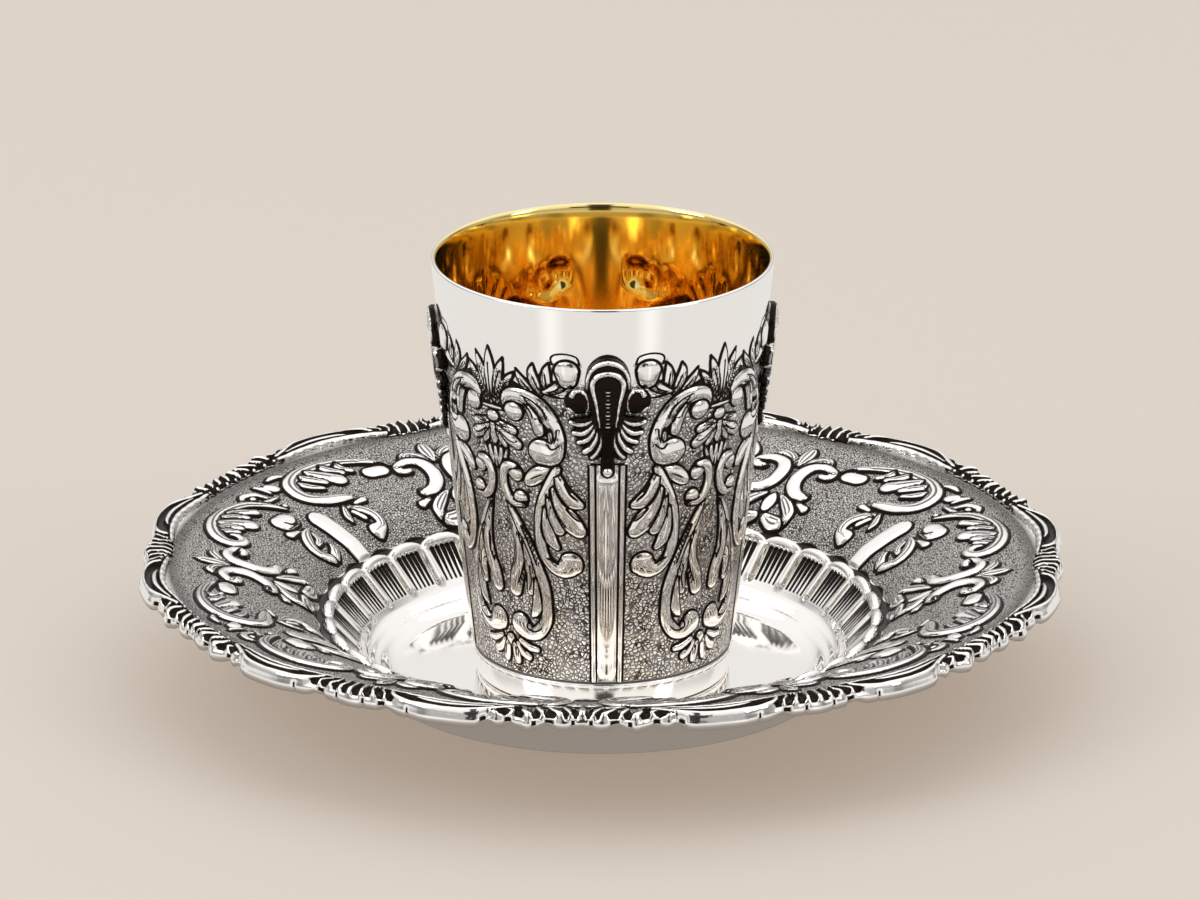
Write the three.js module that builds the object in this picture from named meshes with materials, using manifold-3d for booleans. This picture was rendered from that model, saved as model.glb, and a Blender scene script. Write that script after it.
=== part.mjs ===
// A silver kiddush cup on its matching saucer, in millimetres, +Z up.
//
// The cup is a tall tapered beaker, raised from sheet. A chased pattern of scrolls and
// leaves runs round its wall between a plain foot band and a plain lip. Four upright
// pilasters part the wall into panels, and each pilaster carries a cast cartouche.
// The saucer is a deep dish with a flat well, a fluted step under a ring of petals, a
// chased flange, and a cast border of scrolls round its edge.
//
// The origin is at the middle of the saucer's foot, on the table. The cup's front
// pilaster faces -Y.

import * as THREE from 'three';
import { mergeVertices } from 'three/addons/utils/BufferGeometryUtils.js';
import Module from 'manifold-3d';

const wasm = await Module();
wasm.setup();

// ---------------------------------------------------------------- driving dimensions

const CUP = {
  height: 80.3,
  baseRadius: 23.05,
  rimRadius: 31.6,
  wall: 1.0,
  floorThickness: 1.2,
  baseRecess: 0.6,
  footBand: 5.1,
  footProud: 0.25,
  edge: 0.35,
  columns: 32,
  panels: 4,
  chasedFrom: 5.5,
  chasedTo: 71.5,
};

// The cup's pattern is drawn on a flat strip: u along the wall from a pilaster's
// middle, measured where the cone has this radius, and z up from the cup's base.
const STRIP_RADIUS = 27.3;
const PANEL_AXIS = (Math.PI / CUP.panels) * STRIP_RADIUS;

const SAUCER = {
  wellTop: 1.6,
  footHeight: 0.5,
  footInner: 39.2,
  footOuter: 42.2,
  sheet: 1.2,
  columns: 36,
  tiles: 6,
  petals: 36,
  petalInner: 50.2,
  petalOuter: 52.3,
  petalScallop: 0.7,
  fluteDepth: 0.35,
  flangeInner: 52.9,
  borderInner: 79.4,
  edge: 82.6,
  turn: THREE.MathUtils.degToRad(-4.3),
};

// The saucer's pattern is drawn the same way: s along the flange, measured where it
// has this radius, and r out from the middle. A tile runs from one bar to the next.
const FLANGE_RADIUS = 66;
const TILE = ((2 * Math.PI) / SAUCER.tiles) * FLANGE_RADIUS;

// Height of the flange's upper face against its radius.
const FLANGE = [
  [SAUCER.flangeInner, 12.2],
  [56, 14.8],
  [60, 16.8],
  [66, 19.2],
  [72, 20.8],
  [SAUCER.borderInner, 22.4],
  [SAUCER.edge, 23.0],
];

const BORDER = {
  outer: 85.0,
  top: 24.4,
  outerHeight: 4.0,
  lap: 0.35,
  stationsPerTile: 12,
};

const RISE = 0.8;

// How far apart the stations of a stroke are, against its half-width.
const STEP = { perWidth: 2.2, least: 2.1, most: 4 };

// ---------------------------------------------------------------- materials

const silver = new THREE.MeshStandardMaterial({ color: 0xd9d6d0, roughness: 0.16, metalness: 1 });
const chasedSilver = new THREE.MeshStandardMaterial({ color: 0xb9b4ac, roughness: 0.28, metalness: 1 });
const blackenedSilver = new THREE.MeshStandardMaterial({ color: 0x5c5852, roughness: 0.34, metalness: 1 });
const castSilver = new THREE.MeshStandardMaterial({ color: 0xc4bfb7, roughness: 0.24, metalness: 1 });

// ---------------------------------------------------------------- skins and solids

// A skin in the making: loose triangles, welded where they meet once it is closed.
class Skin {
  corners = [];

  triangle(a, b, c) {
    this.corners.push(a, b, c);
  }

  // Joins two rings of points, each sorted by its angle, whatever their counts. The
  // skin's outside is on the right of the way from the first ring to the second.
  band(first, second) {
    let [i, j] = [0, 0];
    const angle = (ring, k) => ring[k % ring.length].angle + (k >= ring.length ? 2 * Math.PI : 0);
    const at = (ring, k) => ring[k % ring.length].point;
    while (i < first.length || j < second.length) {
      const stepFirst = j >= second.length || (i < first.length && angle(first, i + 1) <= angle(second, j + 1));
      if (stepFirst) {
        this.triangle(at(first, i), at(first, i + 1), at(second, j));
        i += 1;
      } else {
        this.triangle(at(first, i), at(second, j + 1), at(second, j));
        j += 1;
      }
    }
  }

  // Closes a ring with a fan about a point of the axis.
  fan(ring, height, facesUp) {
    const middle = new THREE.Vector3(0, 0, height);
    ring.forEach(({ point }, i) => {
      const next = ring[(i + 1) % ring.length].point;
      if (facesUp) this.triangle(middle, point, next);
      else this.triangle(middle, next, point);
    });
  }

  // Lays a flat net of [along, across, lift] points on a surface.
  net({ points, triangles }, place, flipped) {
    const laid = points.map((point) => place(...point));
    for (const [a, b, c] of triangles) {
      if (flipped) this.triangle(laid[a], laid[c], laid[b]);
      else this.triangle(laid[a], laid[b], laid[c]);
    }
  }

  solid() {
    return solidOf(new THREE.BufferGeometry().setFromPoints(this.corners));
  }
}

function enclosedVolume(position, index) {
  const [a, b, c] = [new THREE.Vector3(), new THREE.Vector3(), new THREE.Vector3()];
  let volume = 0;
  for (let i = 0; i < index.length; i += 3) {
    a.fromBufferAttribute(position, index[i]);
    b.fromBufferAttribute(position, index[i + 1]);
    c.fromBufferAttribute(position, index[i + 2]);
    volume += a.dot(b.cross(c)) / 6;
  }
  return volume;
}

// A closed geometry as a solid whose faces point out.
function solidOf(geometry) {
  const merged = mergeVertices(geometry);
  const index = [...merged.index.array];
  if (enclosedVolume(merged.attributes.position, index) < 0) index.reverse();
  return new wasm.Manifold(new wasm.Mesh({
    numProp: 3,
    vertProperties: new Float32Array(merged.attributes.position.array),
    triVerts: new Uint32Array(index),
  }));
}

function joined(solids) {
  return solids.reduce((whole, next) => whole.add(next));
}

function meshOf(solid, name, material) {
  const { vertProperties, triVerts } = solid.getMesh();
  const geometry = new THREE.BufferGeometry();
  geometry.setAttribute('position', new THREE.BufferAttribute(vertProperties, 3));
  geometry.setIndex(new THREE.BufferAttribute(triVerts, 1));
  geometry.computeVertexNormals();
  const mesh = new THREE.Mesh(geometry, material);
  mesh.name = name;
  return mesh;
}

// A point of a turned body. The angle starts at -Y and grows towards +X.
function turnedPoint(radius, height, angle) {
  return new THREE.Vector3(radius * Math.sin(angle), -radius * Math.cos(angle), height);
}

// A ring of points at the given angles; radius and height may depend on the angle.
function ring(radius, height, angles) {
  const value = (size, angle) => (typeof size === 'function' ? size(angle) : size);
  return angles.map((angle) => ({ angle, point: turnedPoint(value(radius, angle), value(height, angle), angle) }));
}

const evenAngles = (count) => Array.from({ length: count }, (_, i) => (i / count) * 2 * Math.PI);

// ---------------------------------------------------------------- relief nets

// A stroke of relief is a smooth line through a few [along, across, half-width]
// stations. Its points are a raised crest and a foot on each side, spaced by its
// width. A wide end is rounded, and a narrow one runs out in a point.
function strokePoints(line, rise = RISE) {
  const spine = new THREE.CatmullRomCurve3(line.map((station) => new THREE.Vector3(...station)));
  const stations = [];
  const total = spine.getLength();
  let travelled = 0;
  while (travelled < total) {
    const share = Math.min(travelled / total, 1);
    const at = spine.getPointAt(share);
    stations.push({ at, along: spine.getTangentAt(share).setZ(0).normalize() });
    travelled += THREE.MathUtils.clamp(STEP.perWidth * at.z, STEP.least, STEP.most);
  }
  stations.push({ at: spine.getPointAt(1), along: spine.getTangentAt(1).setZ(0).normalize() });
  if (stations.at(-1).at.distanceTo(stations.at(-2).at) < 1) stations.splice(-2, 1);

  const crests = stations.map(({ at }) => [at.x, at.y, rise * Math.min(1, at.z / 1.1)]);
  const feet = [];
  const foot = ({ at, along }, turn) => {
    const [c, s] = [Math.cos(turn), Math.sin(turn)];
    feet.push([at.x + at.z * (c * along.x - s * along.y), at.y + at.z * (s * along.x + c * along.y), 0]);
  };
  for (const station of stations) {
    foot(station, Math.PI / 2);
    foot(station, -Math.PI / 2);
  }
  foot(stations.at(-1), 0.7);
  foot(stations.at(-1), -0.7);
  foot(stations[0], Math.PI);
  return { crests, feet, body: stations.map(({ at }) => at) };
}

// A low ball of relief: a middle and a ring of feet.
function ballPoints([along, across, radius]) {
  const feet = evenAngles(7).map((angle) => [along + radius * Math.cos(angle), across + radius * Math.sin(angle), 0]);
  const inner = evenAngles(5).map((angle) => [
    along + 0.5 * radius * Math.cos(angle), across + 0.5 * radius * Math.sin(angle), RISE]);
  return { crests: inner, feet, body: [new THREE.Vector3(along, across, radius)] };
}

// The net over a rectangle from [a0, b0] to [a1, b1]: the strokes' points, ground
// points where there is room, and the given points of the four edges.
function reliefNet({ a0, a1, b0, b1, edges, strokes, spacing }) {
  const points = [...edges];
  const clear = ([a, b], gap) => points.every(([c, d]) => Math.hypot(a - c, b - d) > gap);
  const within = ([a, b], gap) => a > a0 + gap && a < a1 - gap && b > b0 + gap && b < b1 - gap;
  const inside = ([a, b], body, share) => body.some((at) => Math.hypot(a - at.x, b - at.y) < share * at.z);
  strokes.forEach(({ crests }, i) => {
    const earlier = strokes.slice(0, i);
    for (const crest of crests) {
      const covered = earlier.some(({ body }) => inside(crest, body, 0.9));
      if (!covered && within(crest, 0.2) && clear(crest, 0.6)) points.push(crest);
    }
  });
  strokes.forEach(({ feet }, i) => {
    const others = strokes.filter((_, j) => j !== i);
    for (const foot of feet) {
      const covered = others.some(({ body }) => inside(foot, body, 0.95));
      if (!covered && within(foot, 0.2) && clear(foot, 0.95)) points.push(foot);
    }
  });
  const rows = Math.round((b1 - b0) / spacing);
  const columns = Math.round((a1 - a0) / spacing);
  for (let row = 1; row < rows; row++) {
    for (let column = 0; column < columns; column++) {
      const shift = row % 2 ? 0.3 : 0.72;
      const spot = [a0 + ((column + shift) / columns) * (a1 - a0), b0 + (row / rows) * (b1 - b0), 0];
      if (within(spot, 0.2) && clear(spot, 0.42 * spacing)) points.push(spot);
    }
  }
  return { points, triangles: delaunay(points) };
}

// Joins flat points so that no triangle's circle holds another point. Points are
// added one by one: the triangles whose circles hold it give way to a fan about it.
function delaunay(points) {
  const far = 1e5;
  const all = [...points, [-far, -far], [far, -far], [0, far]];
  const count = points.length;
  const holds = ([i, j, k], [x, y]) => {
    const [[ax, ay], [bx, by], [cx, cy]] = [all[i], all[j], all[k]].map(([px, py]) => [px - x, py - y]);
    const [a2, b2, c2] = [ax * ax + ay * ay, bx * bx + by * by, cx * cx + cy * cy];
    return ax * (by * c2 - b2 * cy) - ay * (bx * c2 - b2 * cx) + a2 * (bx * cy - by * cx) > 1e-7;
  };
  let triangles = [[count, count + 1, count + 2]];
  points.forEach((point, added) => {
    const rim = new Map();
    triangles = triangles.filter((triangle) => {
      if (!holds(triangle, point)) return true;
      triangle.forEach((from, i) => {
        const to = triangle[(i + 1) % 3];
        if (!rim.delete(`${to} ${from}`)) rim.set(`${from} ${to}`, [from, to, added]);
      });
      return false;
    });
    triangles.push(...rim.values());
  });
  return triangles.filter((triangle) => triangle.every((i) => i < count));
}

// ---------------------------------------------------------------- cup

function cupRadius(z) {
  return THREE.MathUtils.lerp(CUP.baseRadius, CUP.rimRadius, z / CUP.height);
}

const placeOnCup = (centre, side) => (u, z, lift) =>
  turnedPoint(cupRadius(z) + lift, z, centre + (side * u) / STRIP_RADIUS);

// Half of one panel of the wall, from the pilaster to the panel's axis. The palmette,
// the bell flower and the root stand on the axis.
const PANEL_STROKES = {
  upperScroll: [[17, 58.7, 2.1], [17, 61.9, 1.6], [14, 62, 1.6], [10.6, 59.2, 1.9], [8.9, 54.4, 1.9],
    [9.8, 50.9, 2.1], [12, 50.8, 2.6]],
  scrollFinger: [[13.6, 60, 0.9], [12.2, 57.6, 1.1], [12.1, 55.2, 0.9]],
  longLeaf: [[8.2, 48, 0.6], [9.4, 43.6, 2.4], [11.2, 38, 2.3], [12, 33, 1.7], [10.9, 29.4, 1.5],
    [8.6, 28.3, 1.7], [6.8, 29.2, 2.3]],
  leafFinger: [[7.7, 43.6, 1], [7.2, 40, 1.3], [5.4, 36.2, 1.2]],
  lyreLeaf: [[19, 39.6, 0.5], [16.6, 33, 2], [14.6, 26.4, 2.4], [12.8, 20.6, 1.8], [13.1, 16.4, 1.6],
    [15.4, 14.2, 1.6], [18.5, 15.4, 2.4]],
  lyreFinger: [[17.8, 29.4, 1], [18, 25.6, 1.3], [19.2, 22.6, 1]],
  smallScroll: [[17, 46.4, 1.5], [19, 46.7, 1.2], [19.8, 44, 1.1], [19, 41, 1.2], [16.7, 41.2, 1.6]],
  sprigLeaf: [[11, 47.3, 0.6], [13.2, 45.8, 1.3], [14.9, 44, 0.5]],
  crest: [[8.4, 64.4, 0.8], [11.3, 65.9, 1.6], [14.2, 65.3, 1.2], [17, 63.7, 0.5]],
  palmetteLeaf: [[20.6, 60, 0.7], [19.7, 64.4, 1.1], [19.3, 67.6, 0.5]],
  bellLeaf: [[20.4, 55.4, 0.9], [18.2, 54, 1.5], [16, 52.6, 1]],
  rootLeaf: [[20.2, 11.4, 0.8], [17.4, 10.3, 1.2], [14.8, 9.8, 0.6]],
};
const PANEL_BALL = [6.9, 67.6, 2.2];
const PANEL_AXIS_HEIGHTS = [[7, 0], [9.6, RISE], [12.2, 0], [40, 0], [49.4, 0], [53.6, 0.5], [58.4, 0], [62, RISE],
  [67, RISE], [70.3, 0]];

// The pilaster's section: a broad rib, a groove, and a fillet along each edge.
const PILASTER = {
  columns: [0, 2.2, 2.75, 3.1, 3.5],
  rib: [0.85, 0.7, 0, 0, 0],
  fillet: [0, 0, 0, 0.8, 0],
  rows: [
    { z: CUP.chasedFrom, rib: 0, fillet: 0 },
    { z: 8, rib: 1, fillet: 1 },
    { z: 45, rib: 1, fillet: 1 },
    { z: 47, rib: 0, fillet: 1 },
    { z: 49.6, rib: 0, fillet: 0 },
    { z: CUP.chasedTo, rib: 0, fillet: 0 },
  ],
};

function pilasterNet() {
  const { columns, rows } = PILASTER;
  const points = rows.flatMap(({ z, rib, fillet }) =>
    columns.map((u, i) => [u, z, rib * PILASTER.rib[i] + fillet * PILASTER.fillet[i]]));
  const triangles = [];
  for (let row = 0; row + 1 < rows.length; row++) {
    for (let column = 0; column + 1 < columns.length; column++) {
      const near = row * columns.length + column;
      const far = near + columns.length;
      triangles.push([near, near + 1, far + 1], [near, far + 1, far]);
    }
  }
  return { points, triangles };
}

// Distances along the foot and head of the chasing where the rings have a point.
const panelColumns = [9.5, 15.5];

function panelNet() {
  const { chasedFrom, chasedTo } = CUP;
  const a0 = PILASTER.columns.at(-1);
  const corners = [chasedFrom, chasedTo];
  const edges = [
    ...PILASTER.rows.map(({ z }) => [a0, z, 0]),
    ...corners.flatMap((z) => [...panelColumns, PANEL_AXIS].map((u) => [u, z, 0])),
    ...PANEL_AXIS_HEIGHTS.map(([z, lift]) => [PANEL_AXIS, z, lift]),
  ];
  const strokes = [...Object.values(PANEL_STROKES).map((line) => strokePoints(line)), ballPoints(PANEL_BALL)];
  return reliefNet({ a0, a1: PANEL_AXIS, b0: chasedFrom, b1: chasedTo, edges, strokes, spacing: 8 });
}

// Angles of the rings that meet the chasing.
function chasedAngles() {
  const half = [...PILASTER.columns.slice(1), ...panelColumns];
  const steps = [0, ...half, PANEL_AXIS, ...half.map((u) => 2 * PANEL_AXIS - u).reverse()];
  return Array.from({ length: CUP.panels }, (_, panel) =>
    steps.map((u) => (panel * 2 * Math.PI) / CUP.panels + u / STRIP_RADIUS)).flat();
}

function cupBody() {
  const { height, baseRadius, rimRadius, wall, floorThickness, baseRecess, footBand, footProud, edge } = CUP;
  const floorTop = baseRecess + floorThickness;
  const angles = evenAngles(CUP.columns);
  const below = [
    [baseRadius - 2.4, baseRecess],
    [baseRadius - 2, 0],
    [baseRadius - edge, 0],
    [cupRadius(0.6) + footProud, 0.6],
    [cupRadius(footBand) + footProud, footBand],
  ].map(([r, z]) => ring(r, z, angles));
  const above = [
    [rimRadius, height - edge],
    [rimRadius - edge, height],
    [rimRadius - wall, height - edge],
    [cupRadius(floorTop) - wall, floorTop],
  ].map(([r, z]) => ring(r, z, angles));
  const chased = [CUP.chasedFrom, CUP.chasedTo].map((z) => ring(cupRadius(z), z, chasedAngles()));

  const skin = new Skin();
  skin.fan(below[0], baseRecess, false);
  const lower = [...below, chased[0]];
  const upper = [chased[1], ...above];
  for (const rings of [lower, upper]) {
    for (let i = 0; i + 1 < rings.length; i++) skin.band(rings[i], rings[i + 1]);
  }
  skin.fan(above.at(-1), floorTop, true);

  const nets = [pilasterNet(), panelNet()];
  for (let panel = 0; panel < CUP.panels; panel++) {
    for (const side of [1, -1]) {
      for (const net of nets) skin.net(net, placeOnCup((panel * 2 * Math.PI) / CUP.panels, side), side < 0);
    }
  }
  return skin.solid();
}

// ---------------------------------------------------------------- cast cartouche

const CARTOUCHE = {
  sunk: -1.5,
  gap: 0.3,
  edge: 0.9,
  face: 1.4,
  // Half outline of the plate, [out from the middle, height on the cup], with the
  // shell's lobes, the ring beside the keyhole and the arch above it.
  outline: [[0, 47.4], [1.3, 48.6], [1.2, 50], [3.4, 50.8], [3.3, 52.4], [5.4, 53.4], [5, 55.2], [6.6, 56.6],
    [7, 61], [5.6, 64.9], [3.4, 65.8], [2.4, 69.6], [0, 70.6]],
};

const KEYHOLE = {
  line: [[-1, 57.2], [-1.7, 61], [-2.6, 64.8], [-1.6, 67.6], [0, 68.4], [1.6, 67.6], [2.6, 64.8], [1.7, 61], [1, 57.2]],
  half: 0.5,
  rise: 1,
};
const RUNGS = { line: [[0, 57.4], [0, 64.4]], half: 0.6, rise: 0.8 };
const SIDE_RING = { line: [[6.1, 63.3], [4, 63.6], [4, 60.2], [6.3, 60.4]], half: 0.55, rise: 0.8 };

// A closed ridge along a line, with its foot sunk under the face that carries it.
function ridge({ line, half, rise }, place) {
  const spine = new THREE.CatmullRomCurve3(line.map(([u, z]) => new THREE.Vector3(u, z, 0)));
  const last = line.length - 1;
  const sections = line.map((_, i) => {
    const at = spine.getPoint(i / last);
    const along = spine.getTangent(i / last);
    const point = (share, lift) => place(at.x - along.y * share * half, at.y + along.x * share * half, lift);
    return [point(-1, -0.4), point(0, rise), point(1, -0.4)];
  });
  const skin = new Skin();
  for (let i = 0; i < last; i++) {
    for (let j = 0; j < 3; j++) {
      const next = (j + 1) % 3;
      skin.triangle(sections[i][j], sections[i][next], sections[i + 1][next]);
      skin.triangle(sections[i][j], sections[i + 1][next], sections[i + 1][j]);
    }
  }
  skin.triangle(sections[0][0], sections[0][2], sections[0][1]);
  skin.triangle(...sections[last]);
  return skin.solid();
}

function cartouche(centre) {
  const place = placeOnCup(centre, 1);
  const half = CARTOUCHE.outline;
  const section = (lift, share) => {
    const right = half.map(([u, z]) => place(u * share, z, lift));
    const left = half.slice(1, -1).reverse().map(([u, z]) => place(-u * share, z, lift));
    return [...right, ...left];
  };
  const { sunk, edge, face } = CARTOUCHE;
  const solids = [plate([section(sunk, 1), section(edge, 1), section(face, 0.6)], half.length)];
  const onFace = (side) => (u, z, lift) => placeOnCup(centre, side)(u, z, edge + lift);
  solids.push(ridge(KEYHOLE, onFace(1)), ridge(RUNGS, onFace(1)));
  for (const side of [1, -1]) solids.push(ridge(SIDE_RING, onFace(side)));
  return joined(solids).subtract(wallSpace());
}

// A thin plate between matching outlines that are mirrored about their middle: its
// first and last faces are closed by rungs from one half of the outline to the other.
function plate(outlines, halfCount) {
  const count = outlines[0].length;
  const skin = new Skin();
  for (let i = 0; i + 1 < outlines.length; i++) {
    for (let j = 0; j < count; j++) {
      const next = (j + 1) % count;
      skin.triangle(outlines[i][j], outlines[i][next], outlines[i + 1][next]);
      skin.triangle(outlines[i][j], outlines[i + 1][next], outlines[i + 1][j]);
    }
  }
  const mirrored = (j) => (count - j) % count;
  const rungs = (face, facesOut) => {
    for (let j = 0; j + 1 < halfCount; j++) {
      const [a, b, c, d] = [face[j], face[j + 1], face[mirrored(j + 1)], face[mirrored(j)]];
      const [second, third] = facesOut ? [b, c] : [c, b];
      if (b !== c) skin.triangle(a, second, third);
      const [fourth, fifth] = facesOut ? [c, d] : [d, c];
      if (a !== d) skin.triangle(a, fourth, fifth);
    }
  };
  rungs(outlines[0], false);
  rungs(outlines.at(-1), true);
  return skin.solid();
}

// The space that the plain wall takes up, with the gap behind a cartouche.
function wallSpace() {
  const angles = evenAngles(CUP.columns);
  const foot = ring(cupRadius(0) + CARTOUCHE.gap, 0, angles);
  const head = ring(cupRadius(CUP.height) + CARTOUCHE.gap, CUP.height, angles);
  const skin = new Skin();
  skin.fan(foot, 0, false);
  skin.band(foot, head);
  skin.fan(head, CUP.height, true);
  return skin.solid();
}

// ---------------------------------------------------------------- saucer

function heightOn(curve, r) {
  let i = 1;
  while (i < curve.length - 1 && curve[i][0] < r) i++;
  const [[r0, z0], [r1, z1]] = [curve[i - 1], curve[i]];
  return z0 + ((r - r0) / (r1 - r0)) * (z1 - z0);
}

const placeOnFlange = (tile, side) => (s, r, lift) => {
  const angle = Math.PI - side * ((tile * 2 * Math.PI) / SAUCER.tiles + s / FLANGE_RADIUS);
  return turnedPoint(r, heightOn(FLANGE, r) + lift, angle);
};

// One tile: the scroll on its near side, the paired scrolls and leaves on its axis,
// and the scroll on its far side. The next tile is the mirror image on the other side
// of the saucer, and repeats on the same side.
const NEAR_STROKES = {
  band: [[3.8, 67.6, 0.7], [6.4, 72.4, 1.2], [10, 75.2, 1.3], [15.6, 76.4, 1.5], [20.4, 75.3, 1.7],
    [23.2, 72.2, 1.7], [22.6, 69, 1.6]],
  finger: [[12.4, 73.4, 1], [13.2, 71.4, 1.2], [14.4, 69.6, 1.3]],
  leaf: [[5.2, 63.8, 0.8], [9, 61.8, 1.6], [10.4, 58.8, 1.6], [8.4, 56.2, 1.9]],
};
const FAR_STROKES = {
  band: [[43.6, 75.8, 0.9], [48.6, 76.4, 1.1], [54.6, 75.3, 1.4], [59.4, 72.5, 1.6], [61.6, 69, 1.7], [59.2, 66.7, 2.4]],
  finger: [[47.8, 73.6, 1], [48.4, 71.8, 1.1], [49.8, 70.2, 1.3]],
  leaf: [[60, 63.4, 0.8], [56.4, 61.9, 1.6], [55.2, 58.8, 1.6], [57.6, 56.4, 1.9]],
};
const PAIR_STROKES = {
  scroll: [[5.6, 70.2, 1.5], [3.4, 71.3, 1.3], [1.8, 69, 1.3], [1.7, 65.8, 1.3], [2.6, 63.5, 1.3], [4.8, 63.4, 1.6]],
  leaf: [[2.4, 61.4, 0.7], [5.8, 59.6, 1.3], [6.6, 57, 1.5], [4.4, 55.6, 1.8]],
};
const AXIS_PETAL = [[TILE / 2, 72.6, 0.7], [TILE / 2, 74.6, 1], [TILE / 2, 76.6, 0.5]];
const BALLS = [[7.2, 66.7, 2.5], [42.6, 72.5, 2.2]];

// The bar that parts two tiles: a round-topped strip with flat shoulders.
const BAR = { half: 2.5, shoulder: 1.5, rows: [[54, RISE], [57, RISE], [60, RISE], [63, RISE], [65.4, RISE]], tip: 67.2 };

function tileNet() {
  const { flangeInner: b0, borderInner: b1, columns, tiles } = SAUCER;
  const perTile = columns / tiles;
  const ends = [0, TILE];
  const edges = [
    ...[b0, b1].flatMap((r) => Array.from({ length: perTile + 1 }, (_, i) => [(i / perTile) * TILE, r, 0])),
    ...ends.flatMap((s) => [...BAR.rows, [BAR.tip, 0], [73, 0]].map(([r, lift]) => [s, r, lift])),
  ];
  const barSide = (s, way) => ({
    crests: BAR.rows.map(([r]) => [s + way * BAR.shoulder, r, RISE]),
    feet: [...BAR.rows.map(([r]) => [s + way * BAR.half, r, 0]), [s + way * 1.5, BAR.tip - 0.3, 0]],
    body: BAR.rows.map(([r]) => new THREE.Vector3(s, r, BAR.half)),
  });
  const mirrored = (way) => Object.values(PAIR_STROKES).map((line) =>
    line.map(([d, r, half]) => [TILE / 2 + way * d, r, half]));
  const lines = [...Object.values(NEAR_STROKES), ...Object.values(FAR_STROKES), ...mirrored(1), ...mirrored(-1), AXIS_PETAL];
  const strokes = [
    barSide(0, 1),
    barSide(TILE, -1),
    ...BALLS.map(ballPoints),
    ...lines.map((line) => strokePoints(line)),
  ];
  return reliefNet({ a0: 0, a1: TILE, b0, b1, edges, strokes, spacing: 8 });
}

// Flutes the step and scallops the petals: a petal's middle stands out, and the joint
// between two petals is cut back.
const cutBack = (value, depth) => (angle) =>
  value - (depth * (1 - Math.cos((angle + Math.PI) * SAUCER.petals))) / 2;

function saucerDish() {
  const { wellTop, footHeight, footInner, footOuter, sheet, petalInner, petalOuter, edge } = SAUCER;
  const { columns, tiles, petals, fluteDepth, petalScallop, flangeInner, borderInner } = SAUCER;
  const coarse = evenAngles(columns);
  const fine = evenAngles(petals * 2);
  const crest = (petalInner + petalOuter) / 2 + 0.2;
  const inner = [
    ring(38.6, wellTop, coarse),
    ring(41.8, 3.2, coarse),
    ring(cutBack(43.6, -fluteDepth), cutBack(4.2, fluteDepth), fine),
    ring(cutBack(petalInner, -fluteDepth), cutBack(11.2, fluteDepth), fine),
    ring(cutBack(crest, petalScallop), cutBack(12.9, 0.5), fine),
    ring(flangeInner, heightOn(FLANGE, flangeInner), coarse),
  ];
  const outer = [
    [borderInner, heightOn(FLANGE, borderInner)],
    [edge, heightOn(FLANGE, edge)],
    [edge, heightOn(FLANGE, edge) - sheet],
    [66.3, 18],
    [51.6, 10.6],
    [footOuter, 0],
    [footInner, 0],
    [footInner - 0.3, footHeight],
  ].map(([r, z]) => ring(r, z, coarse));

  const skin = new Skin();
  skin.fan(inner[0], wellTop, false);
  for (const rings of [inner, outer]) {
    for (let i = 0; i + 1 < rings.length; i++) skin.band(rings[i], rings[i + 1]);
  }
  skin.fan(outer.at(-1), footHeight, true);
  const net = tileNet();
  for (let tile = 0; tile < tiles / 2; tile++) {
    for (const side of [1, -1]) skin.net(net, placeOnFlange(tile, side), side > 0);
  }
  return skin.solid();
}

// The border's outline swells into two lobes beside each tile's axis and is pinched
// on the axis itself. The offset is the angle from the nearest axis, 0 to 30 degrees.
function borderOutline(offset) {
  const swell = (middle, width) => Math.exp(-(((offset - middle) / width) ** 2));
  return {
    outer: BORDER.outer + 1.4 * swell(13.5, 6.5) - 0.4 * swell(0, 5),
    inner: 81 + 1.3 * swell(13.5, 5) - 1.2 * swell(0, 5),
    dip: 0.5 * swell(0, 4) + 0.35 * swell(24, 4),
  };
}

function saucerBorder() {
  const { top, outerHeight, lap, stationsPerTile } = BORDER;
  const tileDegrees = 360 / SAUCER.tiles;
  const sections = evenAngles(SAUCER.tiles * stationsPerTile).map((angle) => {
    const inTile = THREE.MathUtils.radToDeg(angle) % tileDegrees;
    const { outer, inner, dip } = borderOutline(Math.abs(inTile - tileDegrees / 2));
    const rest = (r) => heightOn(FLANGE, r) + lap;
    const section = [
      [inner, rest(inner)],
      [(inner + outer) / 2, top - 0.7 - dip],
      [outer - 0.9, top - dip / 2],
      [outer, top - 0.6],
      [outer - 0.3, top - outerHeight],
      [SAUCER.edge + lap, top - outerHeight],
      [SAUCER.edge + lap, rest(SAUCER.edge)],
    ];
    return section.map(([r, z]) => ({ angle, point: turnedPoint(r, z, angle) }));
  });
  const skin = new Skin();
  const corners = sections[0].length;
  for (let i = 0; i < corners; i++) {
    skin.band(sections.map((section) => section[i]), sections.map((section) => section[(i + 1) % corners]));
  }
  return skin.solid();
}

// ---------------------------------------------------------------- assembly

const group = new THREE.Group();

const cup = new THREE.Group();
cup.position.z = SAUCER.wellTop;
cup.add(meshOf(cupBody(), 'cup_body', silver));
for (const [i, place] of ['front', 'right', 'back', 'left'].entries()) {
  cup.add(meshOf(cartouche((i * 2 * Math.PI) / CUP.panels), `cup_cartouche_${place}`, blackenedSilver));
}
group.add(cup);

const saucer = new THREE.Group();
saucer.rotation.z = SAUCER.turn;
saucer.add(meshOf(saucerDish(), 'saucer_dish', chasedSilver));
saucer.add(meshOf(saucerBorder(), 'saucer_border', castSilver));
group.add(saucer);

export default group;
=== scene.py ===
"""A silver kiddush cup on its matching saucer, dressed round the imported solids.

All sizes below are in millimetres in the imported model's own frame: the origin is at the
middle of the saucer's foot, +Z is up, and the cup's front pilaster faces -Y. An angle
starts at -Y and grows towards +X. Meshes are scaled to metres as the last step, and the
materials and the studio work in metres.
"""
import math

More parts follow.
